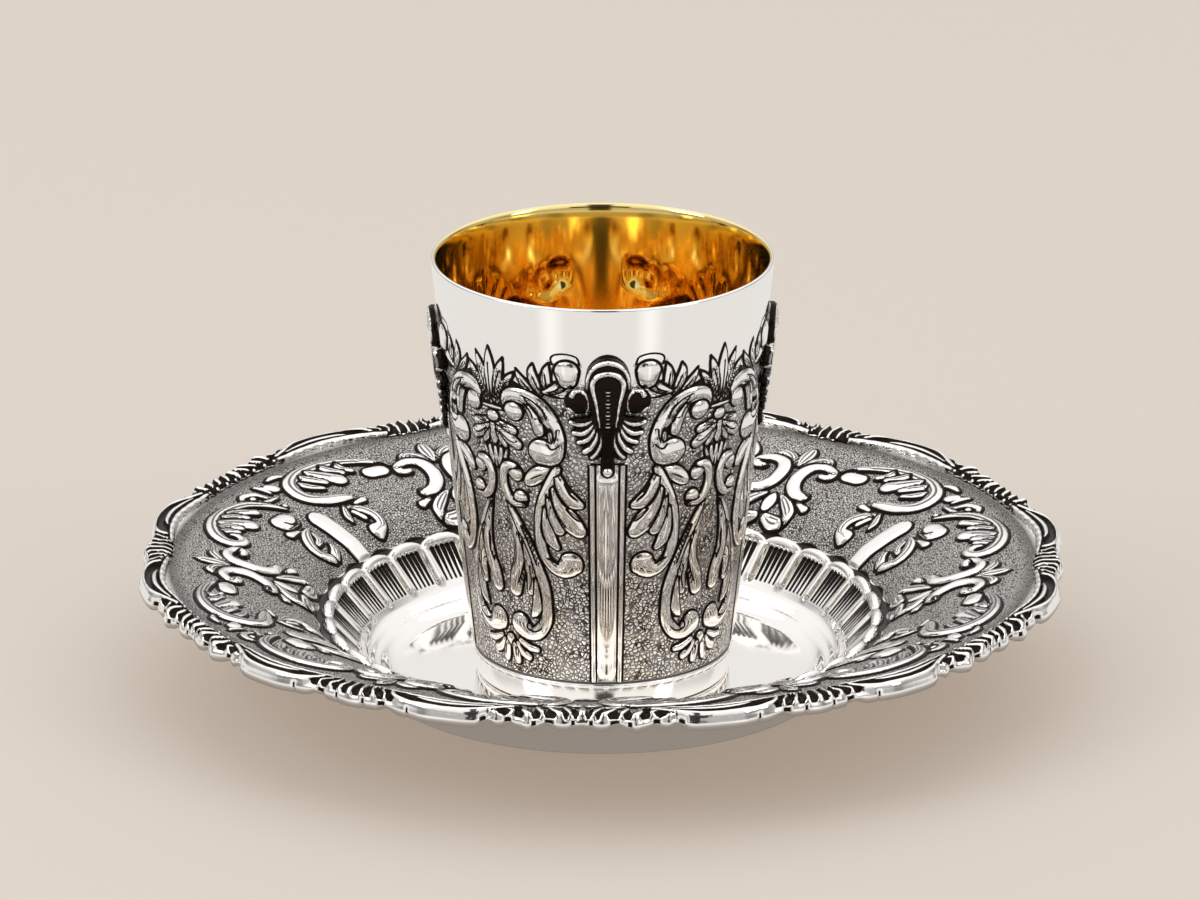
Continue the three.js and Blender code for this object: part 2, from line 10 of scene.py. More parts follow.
import bmesh
import bpy
import numpy as np
from mathutils import Matrix, Vector


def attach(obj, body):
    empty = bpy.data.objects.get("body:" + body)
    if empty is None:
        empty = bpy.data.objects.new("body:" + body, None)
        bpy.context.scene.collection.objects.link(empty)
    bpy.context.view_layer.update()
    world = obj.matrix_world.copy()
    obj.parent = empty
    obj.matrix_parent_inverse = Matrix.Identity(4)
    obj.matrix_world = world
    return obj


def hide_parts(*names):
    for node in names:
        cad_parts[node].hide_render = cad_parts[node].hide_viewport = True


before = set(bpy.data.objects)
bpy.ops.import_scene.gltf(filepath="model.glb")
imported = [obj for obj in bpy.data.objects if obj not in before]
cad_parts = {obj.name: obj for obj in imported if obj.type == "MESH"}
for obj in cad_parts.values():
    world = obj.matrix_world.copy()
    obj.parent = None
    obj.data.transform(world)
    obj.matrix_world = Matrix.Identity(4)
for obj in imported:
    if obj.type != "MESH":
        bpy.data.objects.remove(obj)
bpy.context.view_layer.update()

MM = 0.001

# ---- sizes

CUP_BASE = 1.6
CUP_HEIGHT = 80.3
BASE_RADIUS = 23.05
RIM_RADIUS = 31.6
WALL = 1.0
STRIP_RADIUS = 27.3
CHASED_FROM, CHASED_TO = 5.6, 71.6
PANELS = 4
PANEL_HALF = math.pi / PANELS * STRIP_RADIUS

FLANGE_RADIUS = 66.0
FLANGE_FROM, FLANGE_TO = 53.0, 80.2
SAUCER_TURN = math.radians(-4.3)
TILES = 6
TILE_DEGREES = 360 / TILES
PETAL_DEGREES = 10.0
FLANGE_PROFILE = [(52.9, 12.2), (56, 14.8), (60, 16.8), (66, 19.2), (72, 20.8), (79.4, 22.4), (82.6, 23.0)]

BORDER_TOP = 24.4
BORDER_BOTTOM = 20.4

# ---- relief on a flat strip

def smooth_line(stations, step=0.5):
    """A smooth line through stations of any length, sampled about every step."""
    stations = np.array(stations, float)
    ends = [2 * stations[0] - stations[1], *stations, 2 * stations[-1] - stations[-2]]
    samples = []
    for before, start, end, after in zip(ends, ends[1:], ends[2:], ends[3:]):
        count = max(2, int(math.ceil(np.hypot(*(end - start)[:2]) / step)))
        for t in np.arange(count) / count:
            samples.append(0.5 * (2 * start + (end - before) * t
                                  + (2 * before - 5 * start + 4 * end - after) * t ** 2
                                  + (3 * start - before - 3 * end + after) * t ** 3))
    return np.array(samples + [stations[-1]])


def along_line(points, line):
    """Each point's distance from a line, the width there, and the point's side and share of the line."""
    distance = np.full(len(points), 1e3)
    value = np.zeros(len(points))
    side = np.ones(len(points))
    reach = np.zeros(len(points))
    for i, (start, end) in enumerate(zip(line, line[1:])):
        way = (end - start)[:2]
        share = np.clip((points - start[:2]) @ way / max(way @ way, 1e-9), 0, 1)
        gap = np.hypot(*(points - start[:2] - share[:, None] * way).T)
        width = start[2] + share * (end[2] - start[2])
        nearer = gap - width < distance - value
        distance = np.where(nearer, gap, distance)
        value = np.where(nearer, width, value)
        turn = way[0] * (points[:, 1] - start[1]) - way[1] * (points[:, 0] - start[0])
        side = np.where(nearer, np.sign(turn), side)
        reach = np.where(nearer, (i + share) / (len(line) - 1), reach)
    return distance, value, side, reach


# Fine lines are drawn narrower than outlines by this factor, and FAR is past every line's reach.
FINE_LINE = 1.35
FAR = 9.0


class Relief:
    """Relief worked up motif by motif, each laid over the ones before it.

    Every point of the strip gets a height, how deep it lies inside a motif
    (negative on the ground), its distance from the nearest dark line, which
    side of that line it is on, and how far across a veined stroke it lies,
    from -1 to 1.
    """

    def __init__(self, points):
        self.points = np.array(points, float)
        self.height = np.zeros(len(points))
        self.depth = np.full(len(points), -FAR)
        self.line = np.full(len(points), FAR)
        self.side = np.full(len(points), -1.0)
        self.strand = np.full(len(points), FAR)

    def draw(self, here, distance, side):
        """Takes a line's distance and side where it is the nearest so far."""
        here = here & (distance < self.line)
        self.line = np.where(here, distance, self.line)
        self.side = np.where(here, side, self.side)

    def motif(self, strokes, rise=0.8, profile=0.7, seam=0.9, veined=False):
        """Adds strokes of [along, across, half-width] stations, joined into one shape.

        A seam parts neighbouring strokes and fades where the shape is deeper.
        Veins run along strokes of three stations or more.
        """
        top = np.full(len(self.points), -FAR)
        second = top.copy()
        first_name, second_name = np.zeros(len(top)), np.zeros(len(top))
        height = np.zeros(len(self.points))
        strand = np.full(len(top), FAR)
        for name, stroke in enumerate(strokes):
            line = smooth_line(stroke) if len(stroke) > 1 else np.array([stroke[0], stroke[0]], float)
            distance, width, side, reach = along_line(self.points, line)
            depth = width - distance
            share = np.clip(depth / np.maximum(width, 0.3), 0, 1)
            swell = np.minimum(1, width / 1.2) ** 0.6
            dome = rise * swell * (1 - (1 - share) ** 2) ** profile
            height = np.maximum(height, dome)
            passed = depth > top
            if veined and len(stroke) > 2:
                ends = 1 + 4 * np.clip(1 - reach / 0.15, 0, 1) + 5 * np.clip((reach - 0.78) / 0.22, 0, 1)
                strand = np.where(passed, side * distance / np.maximum(width, 0.3) * ends, strand)
            else:
                strand = np.where(passed, FAR, strand)
            runner_up = np.where(passed, top, depth)
            second_name = np.where(runner_up > second, np.where(passed, first_name, name), second_name)
            second = np.maximum(second, runner_up)
            first_name = np.where(passed, name, first_name)
            top = np.maximum(top, depth)
        inside = top > 0
        parting = (top - second) / 2 + 0.35 * np.maximum(0, second - seam)
        self.line = np.where(inside, FAR, self.line)
        self.draw(np.ones(len(top), bool), np.abs(top), np.where(inside, 1.0, -1.0))
        self.draw(inside & (second > 0), parting * FINE_LINE, np.sign(first_name - second_name))
        self.height = np.where(inside, np.maximum(height, 0.35 * self.height), self.height)
        self.depth = np.where(inside, top, np.maximum(self.depth, top))
        self.strand = np.where(inside, strand, self.strand)

    def engrave(self, lines, within=True):
        """Cuts fine dark lines, only into the relief unless told otherwise."""
        for stations in lines:
            line = smooth_line([(*station, 0) for station in stations])
            distance, _, side, _ = along_line(self.points, line)
            here = self.depth > -0.1 if within else np.ones(len(distance), bool)
            self.draw(here, distance * FINE_LINE, side)


CUP_AXIS = round(PANEL_HALF, 2)

CUP_BELL = [
    [(20.6, 55.6, 0.8), (18.6, 54.9, 1.0), (17.2, 54.6, 1.0)],
    [(20.4, 54.7, 0.9), (18.2, 53.1, 1.3), (16.5, 52.0, 1.15)],
    [(20.8, 54, 0.8), (19.8, 52.4, 0.8), (19, 51.3, 0.6)],
    [(CUP_AXIS, 55.2, 1.2), (CUP_AXIS, 53.2, 1.2), (CUP_AXIS, 51.6, 0.7)],
]
CUP_BUD = [
    [(18.8, 50.4, 0.4), (19.2, 49, 0.5), (19.9, 47.6, 0.3)],
    [(20.1, 50.4, 0.5), (20.3, 48.9, 0.6), (20.9, 47.2, 0.4)],
    [(CUP_AXIS, 50.4, 0.5), (CUP_AXIS, 48.6, 0.6), (CUP_AXIS, 46.6, 0.3)],
]
CUP_SMALL_SCROLL = [
    [(17.2, 46.1, 1.65)],
    [(17.3, 47.4, 0.9), (18.9, 47.3, 1.1), (19.95, 45.6, 1.05), (20, 43.4, 1.05), (19.1, 41.2, 1.05),
     (17.6, 40.2, 0.95), (16.2, 40.6, 1.2)],
    [(16.4, 41.4, 1.6)],
]
CUP_SPRIG = [[(10.6, 47.9, 0.8), (12.4, 46.9, 1.6), (14, 45.5, 1.4), (15, 44.5, 0.5)]]
CUP_LONG_LEAF = [
    [(9, 46.4, 1.1), (8, 43.8, 1.5), (6.3, 41.9, 1.5), (4.9, 41.3, 0.9)],
    [(9.8, 44, 1.5), (8.6, 40.4, 1.9), (6.6, 37.6, 2.0), (5.2, 36, 1.5)],
    [(10.8, 42, 1.4), (10, 38.6, 1.5), (8.9, 36, 1.2)],
    [(11.6, 40.6, 1.3), (11.5, 37, 1.5), (10.6, 34, 1.3), (9.5, 32.5, 0.8)],
    [(9, 48.2, 0.9), (10.7, 44, 1.3), (12, 40.4, 1.4), (12.7, 36.6, 1.3), (12.75, 33.2, 1.25),
     (11.9, 30.2, 1.1), (10.2, 28.2, 1.2), (8.3, 27.8, 1.5), (6.9, 29.2, 2.5)],
]
CUP_LYRE = [
    [(19.3, 39, 0.5), (17.9, 34.8, 1.1), (17.2, 31, 1.5), (17.6, 28, 1.6), (18.6, 25, 1.7),
     (19.1, 22.6, 1.6)],
    [(17, 34, 1.0), (15.4, 29.6, 1.5), (14.9, 26, 1.4), (15.3, 22.8, 1.05)],
    [(14.2, 25.6, 1.0), (13.8, 21.8, 1.3), (14.5, 19, 1.1), (15.4, 17.8, 0.5)],
    [(19.5, 40.2, 0.5), (17.6, 36.6, 1.0), (15.6, 32.6, 1.1), (13.8, 28, 1.3), (12.4, 24, 1.3),
     (12, 20.4, 1.2), (12.4, 17.2, 1.4), (14.2, 14.7, 1.5), (16.4, 14, 1.4), (18.4, 15.5, 2.55)],
]
CUP_ROOT = [
    [(20.6, 11.4, 0.8), (20.2, 9.4, 1.1), (19.9, 8.1, 1.05)],
    [(19.6, 11.4, 0.7), (18.2, 9.8, 1.0), (17, 9.2, 0.95)],
    [(18.8, 12.2, 0.7), (16.6, 11.2, 0.85), (14.8, 11, 0.75)],
    [(CUP_AXIS, 12, 1.3)],
]
CUP_SCROLL = [
    [(13.6, 60.6, 1.3), (12.5, 57.8, 1.25), (12, 55.4, 1.1)],
    [(11.8, 60.4, 1.3), (10.6, 58.6, 1.2), (9.9, 57.6, 0.7)],
    [(9.4, 57.6, 0.8), (9.6, 55.4, 0.95), (9.9, 53.9, 0.6)],
    [(18.75, 58.8, 0.3), (18.5, 60.6, 0.8), (17.2, 61.9, 1.4), (14.9, 61.9, 1.7), (12.4, 60.7, 1.8),
     (10.2, 58.3, 1.6), (8.7, 55.2, 1.3), (8.7, 52.6, 1.4), (9.9, 50.9, 2.1), (11.7, 51.3, 2.65)],
]
CUP_SCROLL_EYE = [[(16.8, 58.6, 1.95)]]
CUP_BALL = [[(6.7, 66.2, 1.7), (6.8, 67.9, 2.2)]]
CUP_CURL = [[(8.1, 64.8, 1.1), (9.3, 64, 0.9), (10.8, 63.4, 0.5)]]
CUP_CREST = [
    [(10, 63.4, 0.5), (10.4, 65.6, 1.0), (10.3, 67.6, 0.75), (9.9, 69.2, 0.1)],
    [(11.4, 63, 0.5), (12.5, 65.3, 1.0), (12.9, 67.2, 0.75), (12.7, 68.8, 0.1)],
    [(12.8, 62.8, 0.5), (14.4, 64.6, 0.85), (15.4, 66, 0.55), (15.9, 67.2, 0.1)],
    [(14.4, 62.6, 0.5), (15.9, 63.5, 0.6), (17, 64.4, 0.1)],
]
CUP_PALMETTE = [
    [(19.4, 59.4, 0.4), (17.8, 61.2, 0.6), (16.3, 62.7, 0.45), (15.2, 63.4, 0.1)],
    [(20.2, 59.6, 0.4), (18.8, 62.6, 0.9), (17.4, 65, 0.7), (16.3, 66.4, 0.1)],
    [(20.9, 59.8, 0.4), (20.1, 63.5, 1.0), (19.2, 66.6, 0.8), (18.4, 68.8, 0.1)],
    [(CUP_AXIS, 59.4, 0.5), (CUP_AXIS, 64, 1.25), (CUP_AXIS, 67.6, 0.95), (CUP_AXIS, 70.4, 0.1)],
]
CUP_TIE = [[(19.2, 58.5, 0.4), (CUP_AXIS, 58.5, 0.5)], [(21.2, 56.7, 1.2)]]

CUP_SCROLL_VEINS = [
    [(14.8, 62.3), (12.8, 61.5), (11.1, 59.8), (10.4, 58.2)],
    [(14.2, 61.5), (12.8, 60.4), (12, 59), (11.6, 57.5)],
    [(15.3, 61.2), (14, 60.4), (13.2, 59.2), (12.9, 58.2)],
    [(8.7, 56), (8.8, 54.8), (9.2, 53.7)],
    [(8.3, 53.2), (9, 52.5), (9.9, 52.2), (10.5, 53)],
]
CUP_LEAF_VEINS = [
    [(9.4, 46.6), (9.2, 44), (8.2, 41.8), (7, 40.6)],
    [(10.2, 44.4), (9.7, 41), (8.6, 38.4), (7.6, 37)],
    [(11.1, 43), (11.1, 39.6), (10.3, 36.6)],
    [(12, 39), (12.3, 35.6), (11.4, 32.6)],
    [(7.6, 45.4), (6.6, 43.4), (5.4, 42.4)],
    [(7.4, 40.4), (6.2, 39), (5.2, 38.2)],
    [(8.9, 31), (9, 29.9), (9.9, 29.5), (11.4, 30.2)],
]
CUP_LYRE_VEINS = [
    [(16.6, 35.8), (15, 32.2), (13.6, 28.6)],
    [(18.2, 32.6), (18.1, 29.6), (18.9, 27.4)],
    [(16.4, 33.6), (16.3, 29.4), (17, 26.6), (18, 24.2)],
    [(14.6, 28.6), (13.4, 24), (13, 19.6), (13.8, 17)],
    [(15.2, 28), (14.9, 25.4), (15.4, 23.4)],
    [(13.2, 15.8), (14.3, 15), (15.6, 14.8), (16.6, 15.2)],
    [(16.7, 15.4), (16.5, 16.8), (17.4, 17.7)],
]
CUP_PETAL_VEINS = [
    [(CUP_AXIS, 60), (CUP_AXIS, 67)], [(20.7, 60.4), (20, 63.6), (19.2, 66)],
    [(20, 60.2), (18.8, 62.8), (17.8, 64.2)],
    [(10.2, 64.4), (10.5, 67)], [(11.8, 64), (12.7, 66.4)], [(13.4, 63.6), (14.8, 65.2)],
    [(8, 64.8), (8.8, 64), (10.2, 63.4)], [(11.8, 46.9), (12.8, 46.4), (13.6, 45.9)],
    [(19.8, 54), (18.2, 52.7), (17, 52.4)], [(19.8, 55.3), (18.4, 55.1)], [(20.2, 10.6), (20, 9.2)],
    [(18.8, 11.2), (17.6, 10.2)],
]
CUP_GROUND_LINES = [
    [(6.2, 62.8), (8.5, 62.4), (11, 62.9)],
    [(4.6, 69.4), (5.2, 70.8), (7.2, 71.3), (9, 70.9), (9.5, 70), (9.2, 69.2)],
]


def cup_relief(points):
    """Half a panel of the cup: along from the pilaster's middle, and height."""
    relief = Relief(points)
    for strokes in (CUP_BUD, CUP_BELL, CUP_ROOT, CUP_PALMETTE, CUP_TIE):
        relief.motif(strokes, rise=0.55)
    for strokes in (CUP_SPRIG, CUP_LONG_LEAF, CUP_LYRE):
        relief.motif(strokes, rise=0.8)
    relief.engrave(CUP_LEAF_VEINS + CUP_LYRE_VEINS)
    relief.motif(CUP_SMALL_SCROLL)
    for strokes in (CUP_CREST, CUP_CURL):
        relief.motif(strokes, rise=0.55)
    relief.motif(CUP_BALL)
    relief.engrave(CUP_PETAL_VEINS)
    relief.motif(CUP_SCROLL)
    relief.engrave(CUP_SCROLL_VEINS)
    relief.motif(CUP_SCROLL_EYE, rise=0.85)
    relief.engrave(CUP_GROUND_LINES, within=False)
    return relief


SAUCER_NEAR_BAND = [
    [(11.8, 75.6, 1.0), (9.7, 73.8, 1.2), (7.9, 71.7, 1.15)],
    [(13.6, 75.6, 1.1), (11.7, 73.6, 1.2), (10.5, 71.8, 0.8)],
    [(15.8, 75.2, 1.4), (13.8, 72.8, 1.7), (12.3, 70.3, 1.85)],
    [(17.4, 74.8, 1.2), (15.6, 72.8, 1.2), (14.8, 71, 0.9)],
    [(18.6, 74, 1.1), (17.1, 72.4, 1.0), (16.4, 70.8, 0.75)],
    [(2.6, 68.6, 0.5), (4.2, 71.6, 0.95), (6.6, 74.5, 1.2), (9.8, 76, 1.3), (13.6, 76.4, 1.4),
     (17.2, 75.5, 1.6), (20, 73.5, 1.7), (21.2, 71, 1.5), (20.4, 69.3, 1.35), (18.9, 68.9, 1.3),
     (17.9, 70.2, 1.0), (18.1, 71.6, 0.6)],
]
SAUCER_NEAR_LEAF = [
    [(7, 63.1, 0.5), (9.7, 63.5, 1.1)],
    [(4.8, 57.8, 0.5), (5.6, 56.3, 1.1), (7.2, 55.4, 1.2)],
    [(4.8, 62.6, 0.6), (7.2, 61.4, 1.3), (9.4, 59.2, 1.5), (10, 56.9, 1.4), (8.6, 55.4, 1.25)],
    [(5.2, 61.2, 0.6), (6, 59.4, 0.9), (7.6, 58.9, 0.8)],
]
SAUCER_NEAR_BALL = [[(5.4, 66.4, 2.5), (7.2, 66.4, 2.5)]]
SAUCER_NEAR_CURL = [
    [(0.6, 72.2, 0.5), (3.2, 72.6, 0.8), (5.6, 73.4, 0.5)],
    [(2, 73.4, 0.6), (2.6, 75.6, 0.9), (4.6, 76.6, 0.9), (6.2, 75.6, 0.5)],
    [(4, 74.9, 0.9)],
    [(0.2, 74, 0.5), (0.2, 75.9, 0.9), (0.8, 77.2, 0.6)],
    [(1.7, 69.6, 0.8)],
]
SAUCER_FAR_BAND = [
    [(45.2, 75.4, 0.9), (45.2, 73.5, 1.0), (44.2, 71.8, 0.85)],
    [(48, 75.8, 1.0), (47.2, 73.8, 1.1), (45.9, 72, 0.9)],
    [(51.2, 75.4, 1.3), (49.4, 73, 1.6), (47.6, 70.5, 1.85)],
    [(53, 74.6, 1.2), (51.6, 72.6, 1.2), (50.3, 70.8, 0.9)],
    [(54.6, 72.8, 1.1), (53.4, 71, 1.0), (51.9, 69.6, 0.75)],
    [(37.8, 70.8, 0.5), (40.2, 73.2, 0.95), (43.6, 75.1, 1.2), (47.6, 76.2, 1.3), (51.8, 76, 1.5),
     (55, 74.4, 1.7), (56.6, 71.9, 1.8), (56.6, 69, 1.8), (54.8, 66.9, 1.7), (52.2, 65.8, 1.5),
     (49.8, 65, 0.9)],
]
SAUCER_FAR_LEAF = [
    [(50, 63.4, 0.6), (47.8, 63.6, 0.9)],
    [(52.8, 63.4, 0.7), (54.2, 61.2, 1.0), (54.6, 59.6, 0.5)],
    [(52.4, 62.9, 0.8), (50, 61.4, 1.3), (48.8, 58.9, 1.4), (49.6, 56.9, 1.3), (51.6, 56.2, 1.9)],
    [(52.2, 61.6, 0.8), (51.4, 59.6, 0.9)],
]
SAUCER_FAR_BALLS = [[(39.6, 69.9, 1.9), (41.4, 70, 1.9)], [(58.6, 74.8, 1.5), (59, 75.6, 1.3)],
                    [(54.6, 77, 0.6), (56, 77.6, 0.9), (57.6, 77.4, 0.5)]]
# The pair is drawn beside the tile's axis, and mirrored about it.
SAUCER_PAIR = [
    [(5.4, 67.5, 0.9), (6.8, 67.8, 1.1), (6.7, 69.4, 1.1), (4.7, 70.4, 1.2), (2.6, 69.4, 1.4),
     (1.75, 66.8, 1.65), (2.1, 63.9, 1.65), (3.7, 61.8, 1.5), (5.8, 61.4, 1.4)],
]
SAUCER_PAIR_LEAF = [
    [(5.8, 59.6, 0.6), (8, 58.7, 1.05)],
    [(1.6, 60.6, 0.6), (3.7, 58.9, 1.3), (5.6, 57, 1.4), (5.8, 55.5, 1.2)],
    [(5.2, 54.7, 1.2), (3.2, 54.6, 1.5), (1.2, 55.2, 1.1)],
]
SAUCER_DROP = [[(0, 60.8, 0.6), (0, 59, 1.6), (0, 57.6, 1.3)]]
SAUCER_PALMETTE = [[(0.8, 69.4, 0.5), (2, 71.6, 1.1), (3.6, 72.7, 1.15), (4.9, 71.8, 0.6)]]
SAUCER_MID_PETAL = [[(0, 69.4, 0.5), (0, 72, 1.4), (0, 74, 1.3), (0, 75.8, 0.2)]]
SAUCER_BAR = [[(0, 50, 2.9), (0, 58, 2.8), (0, 62.8, 2.7)]]
SAUCER_VEINS = [
    [(4.4, 65.6), (5.2, 64.8), (6.6, 64.9), (7.4, 65.8)],
    [(40, 69.2), (41.2, 69.6), (41.6, 70.6)],
]
SAUCER_PAIR_VEINS = [
    [(6.9, 68.6), (5.5, 68.9), (4.7, 67.7), (5.5, 66.4)],
    [(6.3, 61.7), (5.1, 62.2), (4.6, 63)],
]


def saucer_relief(points):
    """One tile of the flange: millimetres along it from a bar, and radius."""
    tile = math.radians(TILE_DEGREES) * FLANGE_RADIUS

    def in_mm(strokes, centre=0.0, way=1):
        scale = math.radians(1) * FLANGE_RADIUS
        return [[(centre + way * along * scale, *rest) for along, *rest in stroke] for stroke in strokes]

    relief = Relief(points)

    def both_ways(strokes):
        return in_mm(strokes, tile / 2) + in_mm(strokes, tile / 2, -1)

    relief.motif(in_mm(SAUCER_NEAR_LEAF), rise=0.7, veined=True)
    relief.motif(in_mm(SAUCER_FAR_LEAF), rise=0.7, veined=True)
    relief.motif(both_ways(SAUCER_PAIR_LEAF), rise=0.7, veined=True)
    relief.motif(in_mm(SAUCER_NEAR_CURL), rise=0.7)
    relief.motif(both_ways(SAUCER_PALMETTE) + in_mm(SAUCER_MID_PETAL, tile / 2), rise=0.7, veined=True)
    relief.motif(in_mm(SAUCER_NEAR_BAND), rise=0.9, veined=True)
    relief.motif(in_mm(SAUCER_FAR_BAND), rise=0.9, veined=True)
    relief.motif(both_ways(SAUCER_PAIR), rise=0.95)
    relief.engrave(both_ways(SAUCER_PAIR_VEINS))
    relief.motif(in_mm(SAUCER_NEAR_BALL))
    relief.engrave(in_mm(SAUCER_VEINS))
    for ball in SAUCER_FAR_BALLS:
        relief.motif(in_mm([ball]), rise=0.7)
    relief.motif(in_mm(SAUCER_DROP, tile / 2), rise=0.3)
    relief.motif(in_mm(SAUCER_BAR) + in_mm(SAUCER_BAR, tile), rise=0.6, profile=0.35)
    return relief


BORDER_SCALE = math.radians(1) * 84

BORDER_LOBE = [
    [(3.4, 80.4, 0.5), (6.6, 81.2, 0.6), (9, 81.7, 0.7), (12.5, 82.1, 0.75), (16, 81.9, 0.7),
     (19.5, 81.4, 0.6), (22, 81.3, 0.4)],
    [(8.8, 82.7, 0.3), (10.4, 83.4, 0.55), (13.5, 83.8, 0.6), (16.6, 83.3, 0.5), (19, 82.6, 0.35)],
    [(5.2, 81.9, 0.55), (5.9, 83.5, 0.6), (7.8, 84.9, 0.6), (10.4, 85.6, 0.6), (13, 85.9, 0.65),
     (15.6, 85.6, 0.65), (17.6, 84.6, 0.65), (19.4, 83.3, 0.6), (21.2, 82.3, 0.55)],
]
BORDER_BARS = [
    [(0, 79.8, 0.45), (0, 82.4, 0.5), (0, 84.9, 0.6)],
    [(1.4, 80.1, 0.4), (1.3, 82.2, 0.45), (1.6, 84.7, 0.5)],
    [(2.9, 80.5, 0.4), (2.5, 82, 0.4), (3.2, 84.2, 0.5)],
    [(4.2, 80.8, 0.4), (3.7, 81.8, 0.35), (4.6, 83.4, 0.4), (4.8, 84.4, 0.4)],
]
BORDER_CURL = [
    [(18.9, 84.2, 0.4), (19.6, 84.9, 0.5), (20.9, 84.8, 0.5), (21.5, 83.9, 0.5), (20.8, 83.3, 0.4)],
]
BORDER_LEAVES = [
    [(22.9, 82.3, 0.5), (22.9, 83.8, 0.7), (23.6, 85.2, 0.7)],
    [(24.3, 82, 0.5), (24.9, 83.4, 0.65), (25.2, 84.4, 0.4)],
    [(25.9, 81.9, 0.5), (26.6, 83.2, 0.65), (27.4, 84.4, 0.6)],
    [(27.7, 81.6, 0.5), (28.3, 83, 0.6), (28.6, 84.2, 0.4)],
    [(30, 81.2, 0.6), (30, 82.8, 0.85), (30, 84.4, 0.65)],
]
BORDER_BEADS = [[(24.4, 81.1, 0.6)], [(26.8, 81, 0.55)], [(28.8, 80.9, 0.5)], [(22.4, 81.3, 0.5)]]


def border_relief(points):
    """Half a tile of the border: millimetres from the tile's axis, and radius."""
    relief = Relief(points)

    def in_mm(strokes):
        return [[(along * BORDER_SCALE, *rest) for along, *rest in stroke] for stroke in strokes]

    for strokes in (BORDER_BARS, BORDER_LEAVES, BORDER_CURL, BORDER_LOBE, BORDER_BEADS):
        relief.motif(in_mm(strokes), rise=0.75)
    return relief


CARTOUCHE_PLATE = [
    [(0, 48.4, 1.3), (0, 52, 1.2), (0, 57, 2.4), (0, 62, 3.2), (0, 66.4, 3.75), (0, 68, 3.0)],
    [(4.7, 62.4, 2.5)],
    [(2, 58.6, 1.2), (4.2, 58.1, 1.3), (5.9, 58.3, 0.8)],
    [(2, 57.4, 1.2), (4.2, 56.1, 1.3), (5.4, 56.2, 0.85)],
    [(2, 56.6, 1.2), (3.8, 54.6, 1.2), (4.7, 54.3, 0.8)],
    [(1.6, 56, 1.2), (3, 53, 1.1), (3.8, 52.4, 0.8)],
    [(1, 55, 1.0), (1.9, 52, 0.9), (2.7, 51.3, 0.7)],
]
CARTOUCHE_KEYHOLE = [
    [(1.3, 57.6, 0.22), (1.6, 60, 0.25), (1.9, 62.4, 0.3), (2.35, 64.6, 0.38), (2.4, 66.4, 0.45),
     (1.5, 67.8, 0.5), (0, 68.3, 0.5)],
]
CARTOUCHE_ARCH = [
    [(3.25, 64.8, 0.2), (3.3, 66.6, 0.32), (2.8, 68.6, 0.42), (1.6, 69.8, 0.5), (0, 70.3, 0.55)],
]
CARTOUCHE_RING = [
    [(5.75, 63.7, 0.5), (5.3, 64.6, 0.45), (4.4, 64.8, 0.4), (3.6, 64.1, 0.3), (3.2, 62.9, 0.22),
     (3.15, 61.6, 0.22), (3.5, 60.4, 0.28), (4.4, 59.8, 0.35), (5.5, 60, 0.5), (6.3, 60.9, 0.55)],
]
CARTOUCHE_LOBES = [
    [(2.3, 59.4, 0.15), (3.2, 58.4, 0.35), (4.6, 58.0, 0.42), (6.0, 58.4, 0.45)],
    [(2.1, 58.7, 0.15), (3.0, 57.1, 0.38), (4.2, 56.2, 0.48), (5.5, 56.3, 0.5)],
    [(1.9, 58.1, 0.15), (2.5, 56.2, 0.35), (3.5, 54.9, 0.45), (4.8, 54.4, 0.45)],
    [(1.6, 57.5, 0.15), (1.9, 55.2, 0.35), (2.8, 53.4, 0.48), (3.9, 52.5, 0.5)],
    [(1.2, 57, 0.12), (1.1, 54.4, 0.28), (1.8, 52.4, 0.36), (2.7, 51.4, 0.36)],
]
CARTOUCHE_BEAD = [[(0, 48.4, 0.95)]]
CARTOUCHE_STEM = [[(0, 49.6, 0.2), (0, 54, 0.3), (0, 56.6, 0.4)]]
CARTOUCHE_RUNGS = [[(0, 57.6 + 0.78 * rung, 0.24), (0.34, 57.6 + 0.78 * rung, 0.22)] for rung in range(10)]


def cartouche_relief(points):
    """Half of a cartouche: out from its middle, and height on the cup."""
    relief = Relief(points)
    relief.motif(CARTOUCHE_PLATE, rise=0.25, seam=FAR)
    plate = relief.depth.copy()
    for strokes, rise in (
            (CARTOUCHE_STEM, 0.5), (CARTOUCHE_LOBES, 1.1), (CARTOUCHE_ARCH, 1.2), (CARTOUCHE_RING, 1.2),
            (CARTOUCHE_KEYHOLE, 1.3), (CARTOUCHE_RUNGS, 1.2), (CARTOUCHE_BEAD, 0.9)):
        relief.depth[:] = -FAR
        relief.motif(strokes, rise=rise)
    relief.depth = np.maximum(plate, relief.depth)
    return relief


# ---- turned and chased walls

def cup_radius(z):
    """Outer radius of the cup's plain wall at a height above its base."""
    return BASE_RADIUS + (RIM_RADIUS - BASE_RADIUS) * z / CUP_HEIGHT


def flange_height(r):
    return np.interp(r, *zip(*FLANGE_PROFILE))


def rows(start, end, step):
    """Even values from start to end, about a step apart, with both ends."""
    return list(np.linspace(start, end, max(2, int(round(abs(end - start) / step)) + 1)))


def strip_grid(columns, row_count):
    """A flat grid whose x is a share of the strip's width and y is the row's number."""
    bm = bmesh.new()
    bmesh.ops.create_grid(bm, x_segments=columns, y_segments=row_count - 1, size=0.5)
    for vert in bm.verts:
        vert.co.x = round((vert.co.x + 0.5) * columns) / columns
        vert.co.y = round((vert.co.y + 0.5) * (row_count - 1))
    return bm


def flat_points(bm):
    """Every vertex's share across the strip and row number."""
    return np.array([vert.co[:2] for vert in bm.verts])


def refine(bm, busy):
    """Splits the faces whose middles are busy, so that fine work has room."""
    middles = np.array([face.calc_center_median()[:2] for face in bm.faces])
    edges = {edge for face, marked in zip(bm.faces[:], busy(middles)) if marked for edge in face.edges}
    bmesh.ops.subdivide_edges(bm, edges=list(edges), cuts=1, use_grid_fill=True)


